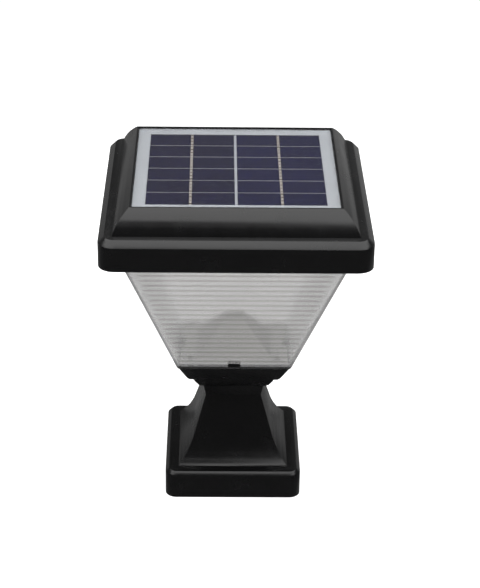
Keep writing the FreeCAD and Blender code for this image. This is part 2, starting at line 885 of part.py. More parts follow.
rib_limits = both_sides([
    (diffuser_half(rib_base - 1) - dim.rib_margin, rib_base - 1),
    (diffuser_half(rib_top + 1) - dim.rib_margin, rib_top + 1),
])
rib_reach = diffuser_high_half
front_ribs = common(
    "FrontRibs",
    extrude("RibTeeth", SIDE_VIEW, [rib_teeth], rib_reach),
    extrude("RibLimits", FRONT_VIEW, [rib_limits], rib_reach + dim.rib_margin),
)
left_ribs = mirrored("LeftRibs", front_ribs, V(1, -1, 0))
back_ribs = mirrored("BackRibs", front_ribs, V(0, 1, 0))
right_ribs = mirrored("RightRibs", left_ribs, V(1, 0, 0))
window_half = tab_half + dim.slip_gap
window_low = barb_top - dim.barb_height - dim.slip_gap
window_high = barb_top + dim.slip_gap
tab_slot = spigot_half - dim.tab_thick - dim.slip_gap
window_reach = diffuser_half(window_high) + 1
windows = []
for name, turn in (("Front", 0), ("Right", 90), ("Back", 180), ("Left", 270)):
    window = extrude(name + "Window", SIDE_VIEW, [[
        (-tab_slot, floor_under - 1),
        (-tab_slot, window_high),
        (-window_reach, window_high),
        (-window_reach, window_low),
        (-rim_half, window_low),
        (-rim_half, floor_under - 1),
    ]], window_half)
    window.Placement.Rotation = FreeCAD.Rotation(V(0, 0, 1), turn)
    windows.append(window)
diffuser_shell = cut(
    "DiffuserShell",
    fuse("DiffuserOuter", diffuser_skin, diffuser_flange),
    diffuser_inner,
    rim_hollow,
)
keep("diffuser", cut(
    "Diffuser",
    fuse("DiffuserRibbed", diffuser_shell, front_ribs, back_ribs, left_ribs, right_ribs),
    rod(
        "DiffuserButtonPass", dim.button_radius + dim.slip_gap,
        (flange_under - 1, flange_top + 1), 0, edge_reach,
    ),
    *windows,
    *corner_rods("FlangePass", screw_pass, (flange_under - 1, flange_top + 1), edge_reach),
    *corner_rods("FloorPass", screw_pass, (floor_under - 1, floor_top + 1), diffuser_screw_reach)
))

# Reflector: a hollow blunt pyramid on a thin flange that covers the diffuser's floor.
reflector_half = diffuser_screw_reach - dim.screw_head_radius - dim.reflector_gap
reflector_flange_top = floor_top + dim.reflector_flange
reflector_top_height = floor_top + dim.reflector_rise
reflector_flange_half = diffuser_half(floor_top) - dim.diffuser_wall - dim.rib_depth
reflector_skin = mitred("ReflectorSkin", [
    (reflector_half, floor_top),
    (dim.reflector_top / 2, reflector_top_height),
])
reflector_inner = mitred("ReflectorInner", [
    (reflector_half - dim.reflector_wall * 1.4, floor_top - 1),
    (reflector_half - dim.reflector_wall * 1.4, floor_top),
    (dim.reflector_top / 2 - dim.reflector_wall * 0.6, reflector_top_height - dim.reflector_wall),
])
notch_outer = reflector_flange_half + 1
notches = []
for name, side in (("Near", -1), ("Far", 1)):
    span = (tab_slot, notch_outer) if side > 0 else (-notch_outer, -tab_slot)
    height = (floor_top - 1, reflector_flange_top + 1)
    notches.append(block(name + "NotchY", (-window_half, window_half), span, height))
    notches.append(block(name + "NotchX", span, (-window_half, window_half), height))
keep("reflector", cut(
    "Reflector",
    fuse(
        "ReflectorOuter",
        reflector_skin,
        slab(
            "ReflectorFlange",
            [rectangle(reflector_flange_half, reflector_flange_half)],
            (floor_top, reflector_flange_top),
        ),
    ),
    reflector_inner,
    *notches,
    *corner_rods(
        "ReflectorPass", screw_pass, (floor_top - 1, reflector_flange_top + 1), diffuser_screw_reach,
    )
))
keep("diffuser_screws", four_corners(
    "DiffuserScrews",
    screw(
        "DiffuserScrew", dim.diffuser_screw_length, reflector_flange_top,
        -diffuser_screw_reach, -diffuser_screw_reach,
    ),
))

# Light tray: the white plate that closes the hood. Posts on it carry the boards and the battery.
button_hole = dim.button_radius + dim.slip_gap
board_under = lip_under - dim.board_lip_gap - dim.board_thick
board_half = dim.board_length / 2
board_back = cap_half - dim.skirt_wall - dim.board_back_gap
board_front = board_back - dim.board_depth
board_screw_reach = board_half - dim.board_screw_inset
board_screw_front = board_front + dim.board_screw_inset
board_screw_back = board_back - dim.board_screw_back_inset
led_board_half = dim.led_board_width / 2
led_screw_reach = led_board_half - dim.led_screw_inset
ear_under = tray_top + dim.ear_lift
ear_top = ear_under + dim.ear_thick
led_post_top = tray_top + dim.led_screw_length - dim.led_board_thick - dim.tray_thick + 1
holder_half_length = dim.battery_length / 2 + dim.contact_thick + dim.holder_end
ear_reach = holder_half_length + dim.ear_length / 2
battery_y = dim.battery_inset - edge_reach
tray_plate = slab(
    "TrayPlate",
    [rounded_rectangle(flange_half, flange_half, flange_corner)],
    (tray_under, tray_top),
    corner_circles(screw_pass, edge_reach)
    + corner_circles(screw_pass, tray_screw_reach)
    + [
        (button_hole, 0, edge_reach),
        (dim.lead_hole_radius, -dim.socket_spacing, dim.led_lead_y),
    ],
)
board_places = [
    (-board_screw_reach, board_screw_front),
    (board_screw_reach, board_screw_front),
    (board_screw_reach, board_screw_back),
    (-board_screw_reach, board_screw_back),
]
posts = [("BoardPost%d" % number, x, y, board_under) for number, (x, y) in enumerate(board_places)]
posts += [
    ("EarPost%d" % number, ear_reach * side, battery_y, ear_under)
    for number, side in enumerate((-1, 1))
]
tray_posts = [rod(name, boss_radius, (tray_top - 1, top), x, y) for name, x, y, top in posts]
tray_post_holes = [rod(name + "Hole", screw_hole, (tray_top, top + 1), x, y) for name, x, y, top in posts]
keep("light_tray", cut(
    "LightTray",
    fuse(
        "TrayPosts",
        tray_plate,
        *tray_posts,
        *corner_rods("LedPost", boss_radius, (tray_top - 1, led_post_top), led_screw_reach)
    ),
    *tray_post_holes,
    *corner_rods("LedPostHole", screw_hole, (tray_under - 1, led_post_top - 0.6), led_screw_reach)
))

# Seal between the diffuser's flange and the tray.
top_seal_inner = diffuser_half(flange_top) - dim.diffuser_wall + dim.slip_gap
keep("top_seal", slab(
    "TopSeal",
    [
        rounded_rectangle(flange_half, flange_half, flange_corner),
        rectangle(top_seal_inner, top_seal_inner),
    ],
    (flange_top, tray_under),
    corner_circles(screw_pass, edge_reach) + [(button_hole, 0, edge_reach)],
))

# Hood: one hollow moulding of the skirt, the lip and the curved plinth with the panel's recess.
skirt_outer = top_chamfer(
    slab("SkirtOuter", [rounded_rectangle(cap_half, cap_half, dim.cap_corner)], (skirt_base, lip_top)),
    dim.cap_chamfer,
)
plinth_outer = mitred("PlinthOuter", [
    (plinth_low_half, lip_under),
    (plinth_low_half, lip_top, dim.plinth_bulge),
    (plinth_top_half, plinth_top),
])
skirt_inner_half = cap_half - dim.skirt_wall
skirt_inner = slab(
    "SkirtInner",
    [rounded_rectangle(skirt_inner_half, skirt_inner_half, dim.cap_corner - dim.skirt_wall)],
    (skirt_base - 1, lip_under),
)
plinth_inner = mitred("PlinthInner", [
    (plinth_low_half - dim.plinth_wall, lip_under - 1),
    (plinth_low_half - dim.plinth_wall, lip_under),
    (plinth_top_half + dim.plinth_inner_bulge, roof_under),
])
panel_recess = block(
    "PanelRecess", (-recess_half, recess_half), (-recess_half, recess_half), (recess_floor, plinth_top + 1),
)
hood_hollow = cut(
    "HoodHollow",
    fuse("HoodOuter", skirt_outer, plinth_outer),
    skirt_inner,
    plinth_inner,
    panel_recess,
    rod("RoofPass", dim.lead_hole_radius, (roof_under - 1, recess_floor + 1), 0, dim.panel_lead_y),
)
hood_screw_seat = flange_under
hood_screw_tip = hood_screw_seat + dim.hood_screw_length
tray_screw_tip = tray_under + dim.tray_screw_length
keep("hood_shell", cut(
    "HoodShell",
    fuse(
        "HoodBossed",
        hood_hollow,
        *corner_rods("HoodBoss", boss_radius, (tray_top, lip_under + 1), edge_reach),
        *corner_rods("TrayBoss", boss_radius, (tray_top, roof_under + 1), tray_screw_reach)
    ),
    *corner_rods("HoodHole", screw_hole, (tray_top - 1, hood_screw_tip + 1), edge_reach),
    *corner_rods("TrayHole", screw_hole, (tray_top - 1, tray_screw_tip + 1), tray_screw_reach)
))
keep("hood_screws", four_corners(
    "HoodScrews",
    screw("HoodScrew", dim.hood_screw_length, hood_screw_seat, -edge_reach, -edge_reach, shank_up=True),
))
keep("tray_screws", four_corners(
    "TrayScrews",
    screw(
        "TrayScrew", dim.tray_screw_length, tray_under,
        -tray_screw_reach, -tray_screw_reach, shank_up=True,
    ),
))

# Solar panel: foam ring, pale backboard, cells with their ribbons, and the clear cover.
glue_inner = panel_half - dim.panel_glue_width
keep("panel_adhesive", slab(
    "PanelAdhesive",
    [rectangle(panel_half, panel_half), rectangle(glue_inner, glue_inner)],
    (recess_floor, backboard_under),
))
keep("panel_backboard", slab(
    "PanelBackboard",
    [rectangle(panel_half, panel_half)],
    (backboard_under, backboard_top),
))
cells_half_x = panel_half - dim.panel_side_margin
cells_half_y = panel_half - dim.panel_end_margin
column_step = (cells_half_x * 2 + dim.column_gap) / SIZES["cell_columns"]
row_step = (cells_half_y * 2 + dim.row_gap) / SIZES["cell_rows"]
cell_length = column_step - dim.column_gap
cell_width = row_step - dim.row_gap
cells = []
ribbons = []
for column in range(SIZES["cell_columns"]):
    low_x = column_step * column - cells_half_x
    middle_x = low_x + cell_length / 2
    for row in range(SIZES["cell_rows"]):
        low_y = row_step * row - cells_half_y - dim.cells_shift
        cells.append(block(
            "Cell%d%d" % (column, row),
            (low_x, low_x + cell_length),
            (low_y, low_y + cell_width),
            (backboard_top, cells_top),
        ))
    ribbons.append(block(
        "Ribbon%d" % column,
        (middle_x - dim.ribbon_width / 2, middle_x + dim.ribbon_width / 2),
        (-cells_half_y - dim.cells_shift, cells_half_y - dim.cells_shift),
        (cells_top, cells_top + dim.ribbon_thick),
    ))
keep("solar_cells", group("SolarCells", *cells))
keep("bus_ribbons", group("BusRibbons", *ribbons))
glaze_pocket_x = cells_half_x + dim.panel_gap
glaze_pocket_y = cells_half_y + dim.panel_gap
keep("panel_glaze", cut(
    "PanelGlaze",
    slab("GlazePlate", [rectangle(panel_half, panel_half)], (backboard_top, panel_top)),
    block(
        "GlazePocket",
        (-glaze_pocket_x, glaze_pocket_x),
        (-glaze_pocket_y - dim.cells_shift, glaze_pocket_y - dim.cells_shift),
        (backboard_top - 1, cells_top + dim.ribbon_thick),
    ),
))

# Light source: a board under the tray with its lamps facing down.
led_board_under = tray_under - dim.led_board_thick
keep("led_board", slab(
    "LedBoard",
    [rounded_rectangle(led_board_half, led_board_half, dim.screw_head_radius)],
    (led_board_under, tray_under),
    corner_circles(screw_pass, led_screw_reach),
))
lamps = []
for column in range(SIZES["led_columns"]):
    middle_x = dim.led_spacing * (column - (SIZES["led_columns"] - 1) / 2)
    for row in range(SIZES["led_rows"]):
        middle_y = dim.led_spacing * (row - (SIZES["led_rows"] - 1) / 2)
        lamps.append(block(
            "Lamp%d%d" % (column, row),
            (middle_x - dim.led_length / 2, middle_x + dim.led_length / 2),
            (middle_y - dim.led_width / 2, middle_y + dim.led_width / 2),
            (led_board_under - dim.led_height, led_board_under),
        ))
keep("leds", group("Leds", *lamps))
keep("led_board_screws", four_corners(
    "LedBoardScrews",
    screw(
        "LedBoardScrew", dim.led_screw_length, led_board_under,
        -led_screw_reach, -led_screw_reach, shank_up=True,
    ),
))

# Control board on its four posts, with its parts.
board_top = board_under + dim.board_thick
board_middle_y = (board_front + board_back) / 2
board_half_y = dim.board_depth / 2
keep("control_board", slab(
    "ControlBoard",
    [rectangle(board_half, board_half_y, 0, board_middle_y)],
    (board_under, board_top),
    [(screw_pass, x, y) for x, y in board_places],
))
keep("board_screws", group("BoardScrews", *[
    screw("BoardScrew%d" % number, dim.board_screw_length, board_top, x, y)
    for number, (x, y) in enumerate(board_places)
]))
socket_front = board_front + dim.socket_inset
sockets = []
for number in (-1, 0, 1):
    middle_x = dim.socket_spacing * number
    sockets.append(block(
        "Socket%d" % (number + 1),
        (middle_x - dim.socket_length / 2, middle_x + dim.socket_length / 2),
        (socket_front, socket_front + dim.socket_depth),
        (board_top, board_top + dim.socket_height),
    ))
keep("board_sockets", group("BoardSockets", *sockets))
chip_middle_y = socket_front + dim.socket_depth + dim.chip_gap
keep("board_chips", group("BoardChips", *[
    block(
        name,
        (middle_x - half_x, middle_x + half_x),
        (chip_middle_y - half_y, chip_middle_y + half_y),
        (board_top, board_top + dim.chip_height),
    )
    for name, middle_x, half_x, half_y in (
        ("ChargeChip", -dim.socket_spacing / 2, 3.0, 2.5),
        ("LampDriver", as_size(0) + 2, 2.0, 2.5),
    )
]))
keep("board_capacitor", rod(
    "BoardCapacitor", dim.capacitor_radius,
    (board_top, board_top + dim.capacitor_height), -dim.socket_spacing, chip_middle_y,
))
keep("board_inductor", slab(
    "BoardInductor",
    [rounded_rectangle(dim.inductor_width / 2, dim.inductor_width / 2, dim.inductor_width / 5)],
    (board_top, board_top + dim.inductor_height),
))
bind(
    parts["board_inductor"],
    Placement__Base__x=dim.socket_spacing * 0.75,
    Placement__Base__y=chip_middle_y,
)

# Battery: one round cell in an open holder, with a contact plate at each end.
cell_centre = cell_under + dim.cell_radius
cell_half = dim.battery_length / 2
keep("battery_cell", cross_rod(
    "BatteryCell", dim.cell_radius, (-cell_half, cell_half), battery_y, cell_centre,
))
holder_inner_y = dim.cell_radius + dim.slip_gap
holder_half_y = holder_inner_y + dim.holder_wall
holder_top = tray_top + dim.holder_height
ear_tip = holder_half_length + dim.ear_length
holder_box = block(
    "HolderBox",
    (-holder_half_length, holder_half_length),
    (battery_y - holder_half_y, battery_y + holder_half_y),
    (tray_top, holder_top),
)
holder_space = block(
    "HolderSpace",
    (dim.holder_end - holder_half_length, holder_half_length - dim.holder_end),
    (battery_y - holder_inner_y, battery_y + holder_inner_y),
    (tray_top + dim.holder_floor, holder_top + 1),
)
holder_ears = block(
    "HolderEars",
    (-ear_tip, ear_tip),
    (battery_y - dim.ear_width / 2, battery_y + dim.ear_width / 2),
    (ear_under, ear_top),
)
keep("battery_holder", cut(
    "BatteryHolder",
    fuse("HolderWithEars", holder_box, holder_ears),
    holder_space,
    *[
        rod(name, screw_pass, (ear_under - 1, ear_top + 1), ear_reach * side, battery_y)
        for name, side in (("EarHoleLeft", -1), ("EarHoleRight", 1))
    ]
))
keep("holder_screws", group("HolderScrews", *[
    screw(name, dim.holder_screw_length, ear_top, ear_reach * side, battery_y)
    for name, side in (("HolderScrewLeft", -1), ("HolderScrewRight", 1))
]))
contacts = []
for name, side in (("LeftContact", -1), ("RightContact", 1)):
    faces = (cell_half, cell_half + dim.contact_thick)
    span = faces if side > 0 else (-faces[1], -faces[0])
    contacts.append(block(
        name,
        span,
        (battery_y - dim.contact_width / 2, battery_y + dim.contact_width / 2),
        (tray_top + dim.holder_floor, holder_top),
    ))
keep("battery_contacts", group("BatteryContacts", *contacts))

# Push switch under the control board's back edge, and its button in the hood's overhang.
button_tip = flange_under - dim.button_proud
collar_under = tray_top + dim.rest_gap
button_collar_top = collar_under + dim.button_collar_thick
bore_top = board_under - dim.switch_roof
plunger_top = bore_top - dim.button_travel - dim.slip_gap
switch_under = button_collar_top + dim.button_travel + dim.slip_gap
keep("power_button", fuse(
    "PowerButton",
    rod("ButtonCap", dim.button_radius, (button_tip, collar_under), 0, edge_reach),
    rod("ButtonCollar", dim.button_collar_radius, (collar_under, button_collar_top), 0, edge_reach),
    rod("ButtonPlunger", dim.plunger_radius, (button_collar_top, plunger_top), 0, edge_reach),
))
switch_half = dim.switch_width / 2
keep("power_switch", cut(
    "PowerSwitch",
    block(
        "SwitchBody",
        (-switch_half, switch_half),
        (edge_reach - switch_half, edge_reach + switch_half),
        (switch_under, board_under),
    ),
    rod(
        "SwitchBore", dim.plunger_radius + dim.slip_gap,
        (switch_under - 1, bore_top), 0, edge_reach,
    ),
))

# Leads: two insulated wires each from the panel, the light board and the battery to the sockets.
lead_height = (board_top + dim.socket_height / 2).value
socket_y = socket_front.value
for colour, side in (("red", -1), ("black", 1)):
    offset = SIZES["lead_spacing"] / 2 * side
    led_x = -SIZES["socket_spacing"] + offset
    keep("light_lead_" + colour, lead("LightLead" + colour, [
        V(led_x, SIZES["led_lead_y"], tray_under.value),
        V(led_x, SIZES["led_lead_y"], lead_height),
        V(led_x, socket_y, lead_height),
    ]))
    keep("panel_lead_" + colour, lead("PanelLead" + colour, [
        V(offset, SIZES["panel_lead_y"], backboard_under.value),
        V(offset, SIZES["panel_lead_y"], lead_height),
        V(offset, socket_y, lead_height),
    ]))
    battery_x = SIZES["battery_lead_x"] + offset
    low = lead_height - SIZES["battery_lead_drop"]
    keep("battery_lead_" + colour, lead("BatteryLead" + colour, [
        V(battery_x, (battery_y + holder_half_y).value, low),
        V(battery_x, -SIZES["battery_lead_bend_y"], low),
        V(SIZES["socket_spacing"] + offset, SIZES["battery_lead_end_bend_y"], lead_height),
        V(SIZES["socket_spacing"] + offset, socket_y, lead_height),
    ]))

doc.recompute()
faults = [
    thing.Label for thing in doc.Objects
    if "Invalid" in thing.State or "Error" in thing.State
]
for label, piece in parts.items():
    if piece.Shape.isNull() or not piece.Shape.isValid() or not piece.Shape.Solids:
        faults.append(label)
if faults:
    raise SystemExit("faulty: " + ", ".join(faults))
os.makedirs("parts", exist_ok=True)
for label, piece in parts.items():
    piece.Shape.exportStep("parts/%s.step" % label)
    print("%-18s %2d solids %10.1f mm3" % (label, len(piece.Shape.Solids), piece.Shape.Volume))
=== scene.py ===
import bmesh
import bpy
import math
from mathutils import Matrix, Vector


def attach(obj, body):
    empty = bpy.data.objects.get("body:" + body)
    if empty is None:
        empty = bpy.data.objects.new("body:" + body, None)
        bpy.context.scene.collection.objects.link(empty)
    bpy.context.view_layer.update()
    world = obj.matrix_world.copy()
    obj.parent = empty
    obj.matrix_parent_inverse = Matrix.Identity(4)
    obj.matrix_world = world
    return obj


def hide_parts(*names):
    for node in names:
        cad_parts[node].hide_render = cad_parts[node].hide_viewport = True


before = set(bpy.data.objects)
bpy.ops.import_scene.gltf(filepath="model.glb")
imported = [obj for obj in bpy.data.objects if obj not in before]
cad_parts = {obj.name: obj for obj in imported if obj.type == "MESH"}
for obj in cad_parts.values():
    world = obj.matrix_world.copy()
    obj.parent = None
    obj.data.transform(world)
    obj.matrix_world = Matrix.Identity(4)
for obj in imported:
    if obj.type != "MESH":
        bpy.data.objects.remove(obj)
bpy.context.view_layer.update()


# The viewpoint: a long lens a metre and a bit away, looking down at 27 degrees on the front.
VIEW_TURN = -0.0159
VIEW_DOWN = 0.4761
VIEW_ROLL = 0.0134
camera = bpy.data.objects.new("viewpoint", bpy.data.cameras.new("viewpoint"))
camera.data.lens = 111.67
camera.location = (-0.01253, -1.01701, 0.64829)
camera.rotation_euler = (
    Matrix.Rotation(VIEW_TURN, 3, "Z")
    @ Matrix.Rotation(math.pi / 2 - VIEW_DOWN, 3, "X")
    @ Matrix.Rotation(VIEW_ROLL, 3, "Z")
).to_euler()
bpy.context.scene.collection.objects.link(camera)
bpy.context.scene.camera = camera
bpy.context.scene.view_settings.view_transform = "Standard"


class Wire:
    """A socket of a node tree. Arithmetic on wires adds Math nodes, and node() adds any other."""

    def __init__(self, tree, socket=None):
        self.tree = tree
        self.socket = socket

    def node(self, kind, settings, inputs):
        """A node with its settings, then its sockets' values or wires; gives its first output."""
        made = self.tree.nodes.new(kind)
        for name, value in settings.items():
            setattr(made, name, value)
        for key, value in inputs.items():
            if isinstance(value, (Wire, list)):
                for wire in reversed(value) if isinstance(value, list) else [value]:
                    self.tree.links.new(wire.socket, made.inputs[key])
            else:
                made.inputs[key].default_value = value
        return Wire(self.tree, next(socket for socket in made.outputs if socket.enabled))

    def out(self, name):
        return Wire(self.tree, self.socket.node.outputs[name])

    def feed(self, node, name):
        self.tree.links.new(self.socket, node.inputs[name])

    def math(self, operation, *more):
        return self.node("ShaderNodeMath", {"operation": operation}, dict(enumerate([self, *more])))

    def __add__(self, other):
        return self.math("ADD", other)

    __radd__ = __add__

    def __mul__(self, other):
        return self.math("MULTIPLY", other)

    __rmul__ = __mul__

    def __sub__(self, other):
        return self.math("SUBTRACT", other)

    def __rsub__(self, other):
        return self.node("ShaderNodeMath", {"operation": "SUBTRACT"}, {0: other, 1: self})

    def __truediv__(self, other):
        return self.math("DIVIDE", other)

    def __mod__(self, other):
        return self.math("MODULO", other)

    def __gt__(self, other):
        return self.math("GREATER_THAN", other)

    def __lt__(self, other):
        return self.math("LESS_THAN", other)

    def step(self, low, high):
        """Rises smoothly from 0 at low to 1 at high."""
        return self.node(
            "ShaderNodeMapRange", {"interpolation_type": "SMOOTHSTEP"},
            {"Value": self, "From Min": low, "From Max": high},
        )

    def mix(self, low, high):
        """A colour from low, where this wire is 0, to high, where it is 1."""
        low, high = [(*c, 1) if isinstance(c, tuple) and len(c) == 3 else c for c in (low, high)]
        return self.node("ShaderNodeMix", {"data_type": "RGBA"}, {0: self, 6: low, 7: high})


# The studio: a pale floor and backdrop under a wide overhead softbox, with a weak softbox behind
# on each side. Gloss sees a dim room that is lighter low down behind the light.
ROOM_GLOW = 0.05
BACK_GLOW = 0.175
FLOOR_HALF = 3.0
world = bpy.data.worlds.new("studio")
world.use_nodes = True
bpy.context.scene.world = world
way = Wire(world.node_tree).node("ShaderNodeTexCoord", {}, {}).out("Generated")
aim = way.node("ShaderNodeSeparateXYZ", {}, {0: way})
low_down = 1 - aim.out("Z").step(0.12, 0.56)
glow = aim.out("Y").step(-0.2, 1.0) * low_down * BACK_GLOW + ROOM_GLOW
seen = way.node("ShaderNodeLightPath", {}, {})
strength = seen.node("ShaderNodeMix", {"data_type": "FLOAT"}, {0: seen, 2: glow, 3: 1.0})
sky = world.node_tree.nodes["Background"]
sky.inputs["Color"].default_value = (1, 1, 1, 1)
strength.feed(sky, "Strength")


def softbox(name, place, target, width, height, power):
    """A lit rectangle that faces a target: its place and size in metres, its power in watts."""
    lamp = bpy.data.objects.new(name, bpy.data.lights.new(name, "AREA"))
    lamp.data.shape = "RECTANGLE"
    lamp.data.size = width
    lamp.data.size_y = height
    lamp.data.energy = power
    lamp.location = place
    lamp.rotation_euler = (Vector(target) - Vector(place)).to_track_quat("-Z", "Y").to_euler()
    lamp.visible_camera = False
    bpy.context.scene.collection.objects.link(lamp)


softbox("overhead", (0, -0.02, 0.7), (0, -0.02, 0), 1.5, 0.88, 10.0)
softbox("back_right", (0.9, 1.6, 0.35), (0, 0, 0.1), 0.9, 1.2, 0.5)
softbox("back_left", (-0.9, 1.6, 0.35), (0, 0, 0.1), 0.9, 1.2, 0.1)

floor_sheet = bmesh.new()
bmesh.ops.create_grid(floor_sheet, x_segments=1, y_segments=1, size=FLOOR_HALF)
floor_mesh = bpy.data.meshes.new("floor")
floor_sheet.to_mesh(floor_mesh)
floor = bpy.data.objects.new("floor", floor_mesh)
bpy.context.scene.collection.objects.link(floor)
floor.visible_glossy = False
floor_paint = bpy.data.materials.new("pale paper")
floor_paint.use_nodes = True
floor_shader = floor_paint.node_tree.nodes["Principled BSDF"]
floor_shader.inputs["Base Color"].default_value = (0.9, 0.9, 0.9, 1)
floor_shader.inputs["Roughness"].default_value = 1.0
floor_shader.inputs["Specular IOR Level"].default_value = 0.0
floor_shader.inputs["Emission Color"].default_value = (1, 1, 1, 1)
floor_shader.inputs["Emission Strength"].default_value = 0.8
floor_mesh.materials.append(floor_paint)


# Mounting bracket: galvanised sheet steel, bent up into an ear at each side. Four wood screws
# hold it on the post, and two countersunk screws lock the foot to its ears.
MM = 0.001
LAMP = "lamp"
LOCK_SEAT = 40.85
LOCK_HEIGHT = 8
GLOSS_SPREAD = 0.16


def finish(name, colour, roughness, metallic=0.0, **more):
    """A material with one shader: the material, the shader and the piece's own coordinates."""
    material = bpy.data.materials.new(name)
    material.use_nodes = True
    shader = material.node_tree.nodes["Principled BSDF"]
    shader.inputs["Base Color"].default_value = (*colour, 1)
    shader.inputs["Roughness"].default_value = roughness
    shader.inputs["Metallic"].default_value = metallic
    for word, value in more.items():
        shader.inputs[word.replace("_", " ").title().replace("Ior", "IOR")].default_value = value
    place = Wire(material.node_tree).node("ShaderNodeTexCoord", {}, {}).out("Object")
    return material, shader, place


def noise(place, per_metre, detail=2.0):
    sockets = {"Vector": place, "Scale": per_metre, "Detail": detail}
    return place.node("ShaderNodeTexNoise", {}, sockets)


def cells(place, per_metre):
    return place.node("ShaderNodeTexVoronoi", {}, {"Vector": place, "Scale": per_metre})


def stretched(place, x, y, z):
    return place.node("ShaderNodeMapping", {}, {"Vector": place, "Scale": (x, y, z)})


def bumpy(height, shader, depth):
    """Feeds the shader's normal from a height of 0 to 1 that stands for a real depth in metres."""
    height.node("ShaderNodeBump", {}, {"Height": height, "Distance": depth}).feed(shader, "Normal")


def shade_of(colour, amount):
    """The colour made lighter or darker, its parts no more than 1."""
    return tuple(min(part * amount, 1.0) for part in colour)


def mottled(
    name, colour, roughness, metallic=0.0, patch=90.0, grain=2600.0, depth=0.01, tone=0.12,
):
    """A moulded, plated or painted finish: faint patches of tone and gloss over a fine grain."""
    material, shader, place = finish(name, colour, roughness, metallic)
    flow = noise(place, patch, 3.0)
    flow.mix(shade_of(colour, 1 - tone), shade_of(colour, 1 + tone)).feed(shader, "Base Color")
    (flow * GLOSS_SPREAD + (roughness - GLOSS_SPREAD / 2)).feed(shader, "Roughness")
    bumpy(noise(place, grain), shader, depth * MM)
    return material


def dress(material, *names):
    """Gives CAD nodes whose shape is right their finish."""
    for name in names:
        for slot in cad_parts[name].material_slots:
            slot.material = material


def new_piece(name, mesh, body, material, *nodes):
    """A finished piece on a body, in place of the CAD nodes named."""
    piece = bpy.data.objects.new(name, mesh)
    bpy.context.scene.collection.objects.link(piece)
    if material:
        mesh.materials.clear()
        mesh.materials.append(material)
    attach(piece, body)
    if nodes:
        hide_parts(*nodes)


def plain_mesh(thing):
    """The object's mesh with its modifiers worked in; the object goes."""
    graph = bpy.context.evaluated_depsgraph_get()
    mesh = bpy.data.meshes.new_from_object(thing.evaluated_get(graph), depsgraph=graph)
    bpy.data.objects.remove(thing)
    return mesh


def growth_tree(name, **sizes):
    """A geometry tree with a named input for each size, and its inputs as wires."""
    tree = bpy.data.node_groups.new(name, "GeometryNodeTree")
    tree.interface.new_socket("Geometry", in_out="INPUT", socket_type="NodeSocketGeometry")
    tree.interface.new_socket("Geometry", in_out="OUTPUT", socket_type="NodeSocketGeometry")
    for word, kind in sizes.items():
        tree.interface.new_socket(word, in_out="INPUT", socket_type="NodeSocket" + kind)
    entry = tree.nodes.new("NodeGroupInput")
    return tree, {socket.name: Wire(tree, socket) for socket in entry.outputs if socket.name}


def grown(tree, result, material):
    """Ends a tree: its instances made real, and their material set."""
    real = result.node("GeometryNodeRealizeInstances", {}, {0: result})
    dressed = real.node("GeometryNodeSetMaterial", {}, {"Geometry": real, "Material": material})
    end = tree.nodes.new("NodeGroupOutput")
    dressed.feed(end, "Geometry")


def grow(tree, seed_mesh, **sizes):
    """The plain mesh that a tree makes of a seed mesh, with its sizes set by name."""
    seed = bpy.data.objects.new(tree.name + "_seed", seed_mesh)
    bpy.context.scene.collection.objects.link(seed)
    growth = seed.modifiers.new("growth", "NODES")
    growth.node_group = tree
    for socket in tree.interface.items_tree:
        if socket.in_out == "INPUT" and socket.name in sizes:
            growth[socket.identifier] = sizes[socket.name]
    return plain_mesh(seed)


def seats(name, *places):
    """A mesh of loose points in mm, one for each place that gets a copy."""
    mesh = bpy.data.meshes.new(name)
    mesh.from_pydata([tuple(part * MM for part in place) for place in places], [], [])
    return mesh


# The screw: a turned head with a cross recess, and a cut thread that runs to a blunt point.
zinc, zinc_shader, place = finish("zinc plated steel", (0.58, 0.58, 0.56), 0.3, 1.0)
patches = noise(place, 700.0, 3.0)
patches.mix((0.50, 0.50, 0.49), (0.64, 0.63, 0.60)).feed(zinc_shader, "Base Color")
(patches * 0.2 + 0.22).feed(zinc_shader, "Roughness")
bumpy(noise(place, 5000.0), zinc_shader, 0.006 * MM)

RECESS_WIDTH = 0.24
RECESS_DEPTH = 0.5
THREADED = 0.92
CRISP_BEND = 35
screw_tree, ask = growth_tree(
    "cross_screws", seat_radius="Float", crown_radius="Float", head_height="Float", dome="Float",
    shank_radius="Float", length="Float", pitch="Float", recess="Float", turn="Vector",
)
wire = ask["Geometry"]
rim_height = ask["head_height"] - ask["dome"]
cone = wire.node("GeometryNodeMeshCone", {"fill_type": "TRIANGLE_FAN"}, {
    "Vertices": 32, "Fill Segments": 4, "Radius Top": ask["crown_radius"],
    "Radius Bottom": ask["seat_radius"], "Depth": rim_height,
})
spot = wire.node("GeometryNodeInputPosition", {}, {})
split = wire.node("ShaderNodeSeparateXYZ", {}, {0: spot})
reach = (split * split + split.out("Y") * split.out("Y")).math("SQRT")
swell = (1 - (reach / ask["crown_radius"]) * (reach / ask["crown_radius"])) * ask["dome"]
lift = wire.node("ShaderNodeCombineXYZ", {}, {2: swell})
domed = wire.node("GeometryNodeSetPosition", {}, {
    "Geometry": cone, "Selection": split.out("Z") > rim_height * 0.99, "Offset": lift,
})
slot_length = ask["recess"]
bars = []
for long_side in (0, 1):
    span = [slot_length * RECESS_WIDTH, slot_length * RECESS_WIDTH, slot_length * RECESS_DEPTH]
    span[long_side] = slot_length
    size = wire.node("ShaderNodeCombineXYZ", {}, {0: span[0], 1: span[1], 2: span[2]})
    bars.append(wire.node("GeometryNodeMeshCube", {}, {"Size": size}))
cross = wire.node("GeometryNodeJoinGeometry", {}, {0: bars})
crown = wire.node("ShaderNodeCombineXYZ", {}, {2: ask["head_height"]})
sunk = wire.node("GeometryNodeTransform", {}, {"Geometry": cross, "Translation": crown})
head = wire.node("GeometryNodeMeshBoolean", {"operation": "DIFFERENCE"}, {
    "Mesh 1": domed, "Mesh 2": [sunk],
})
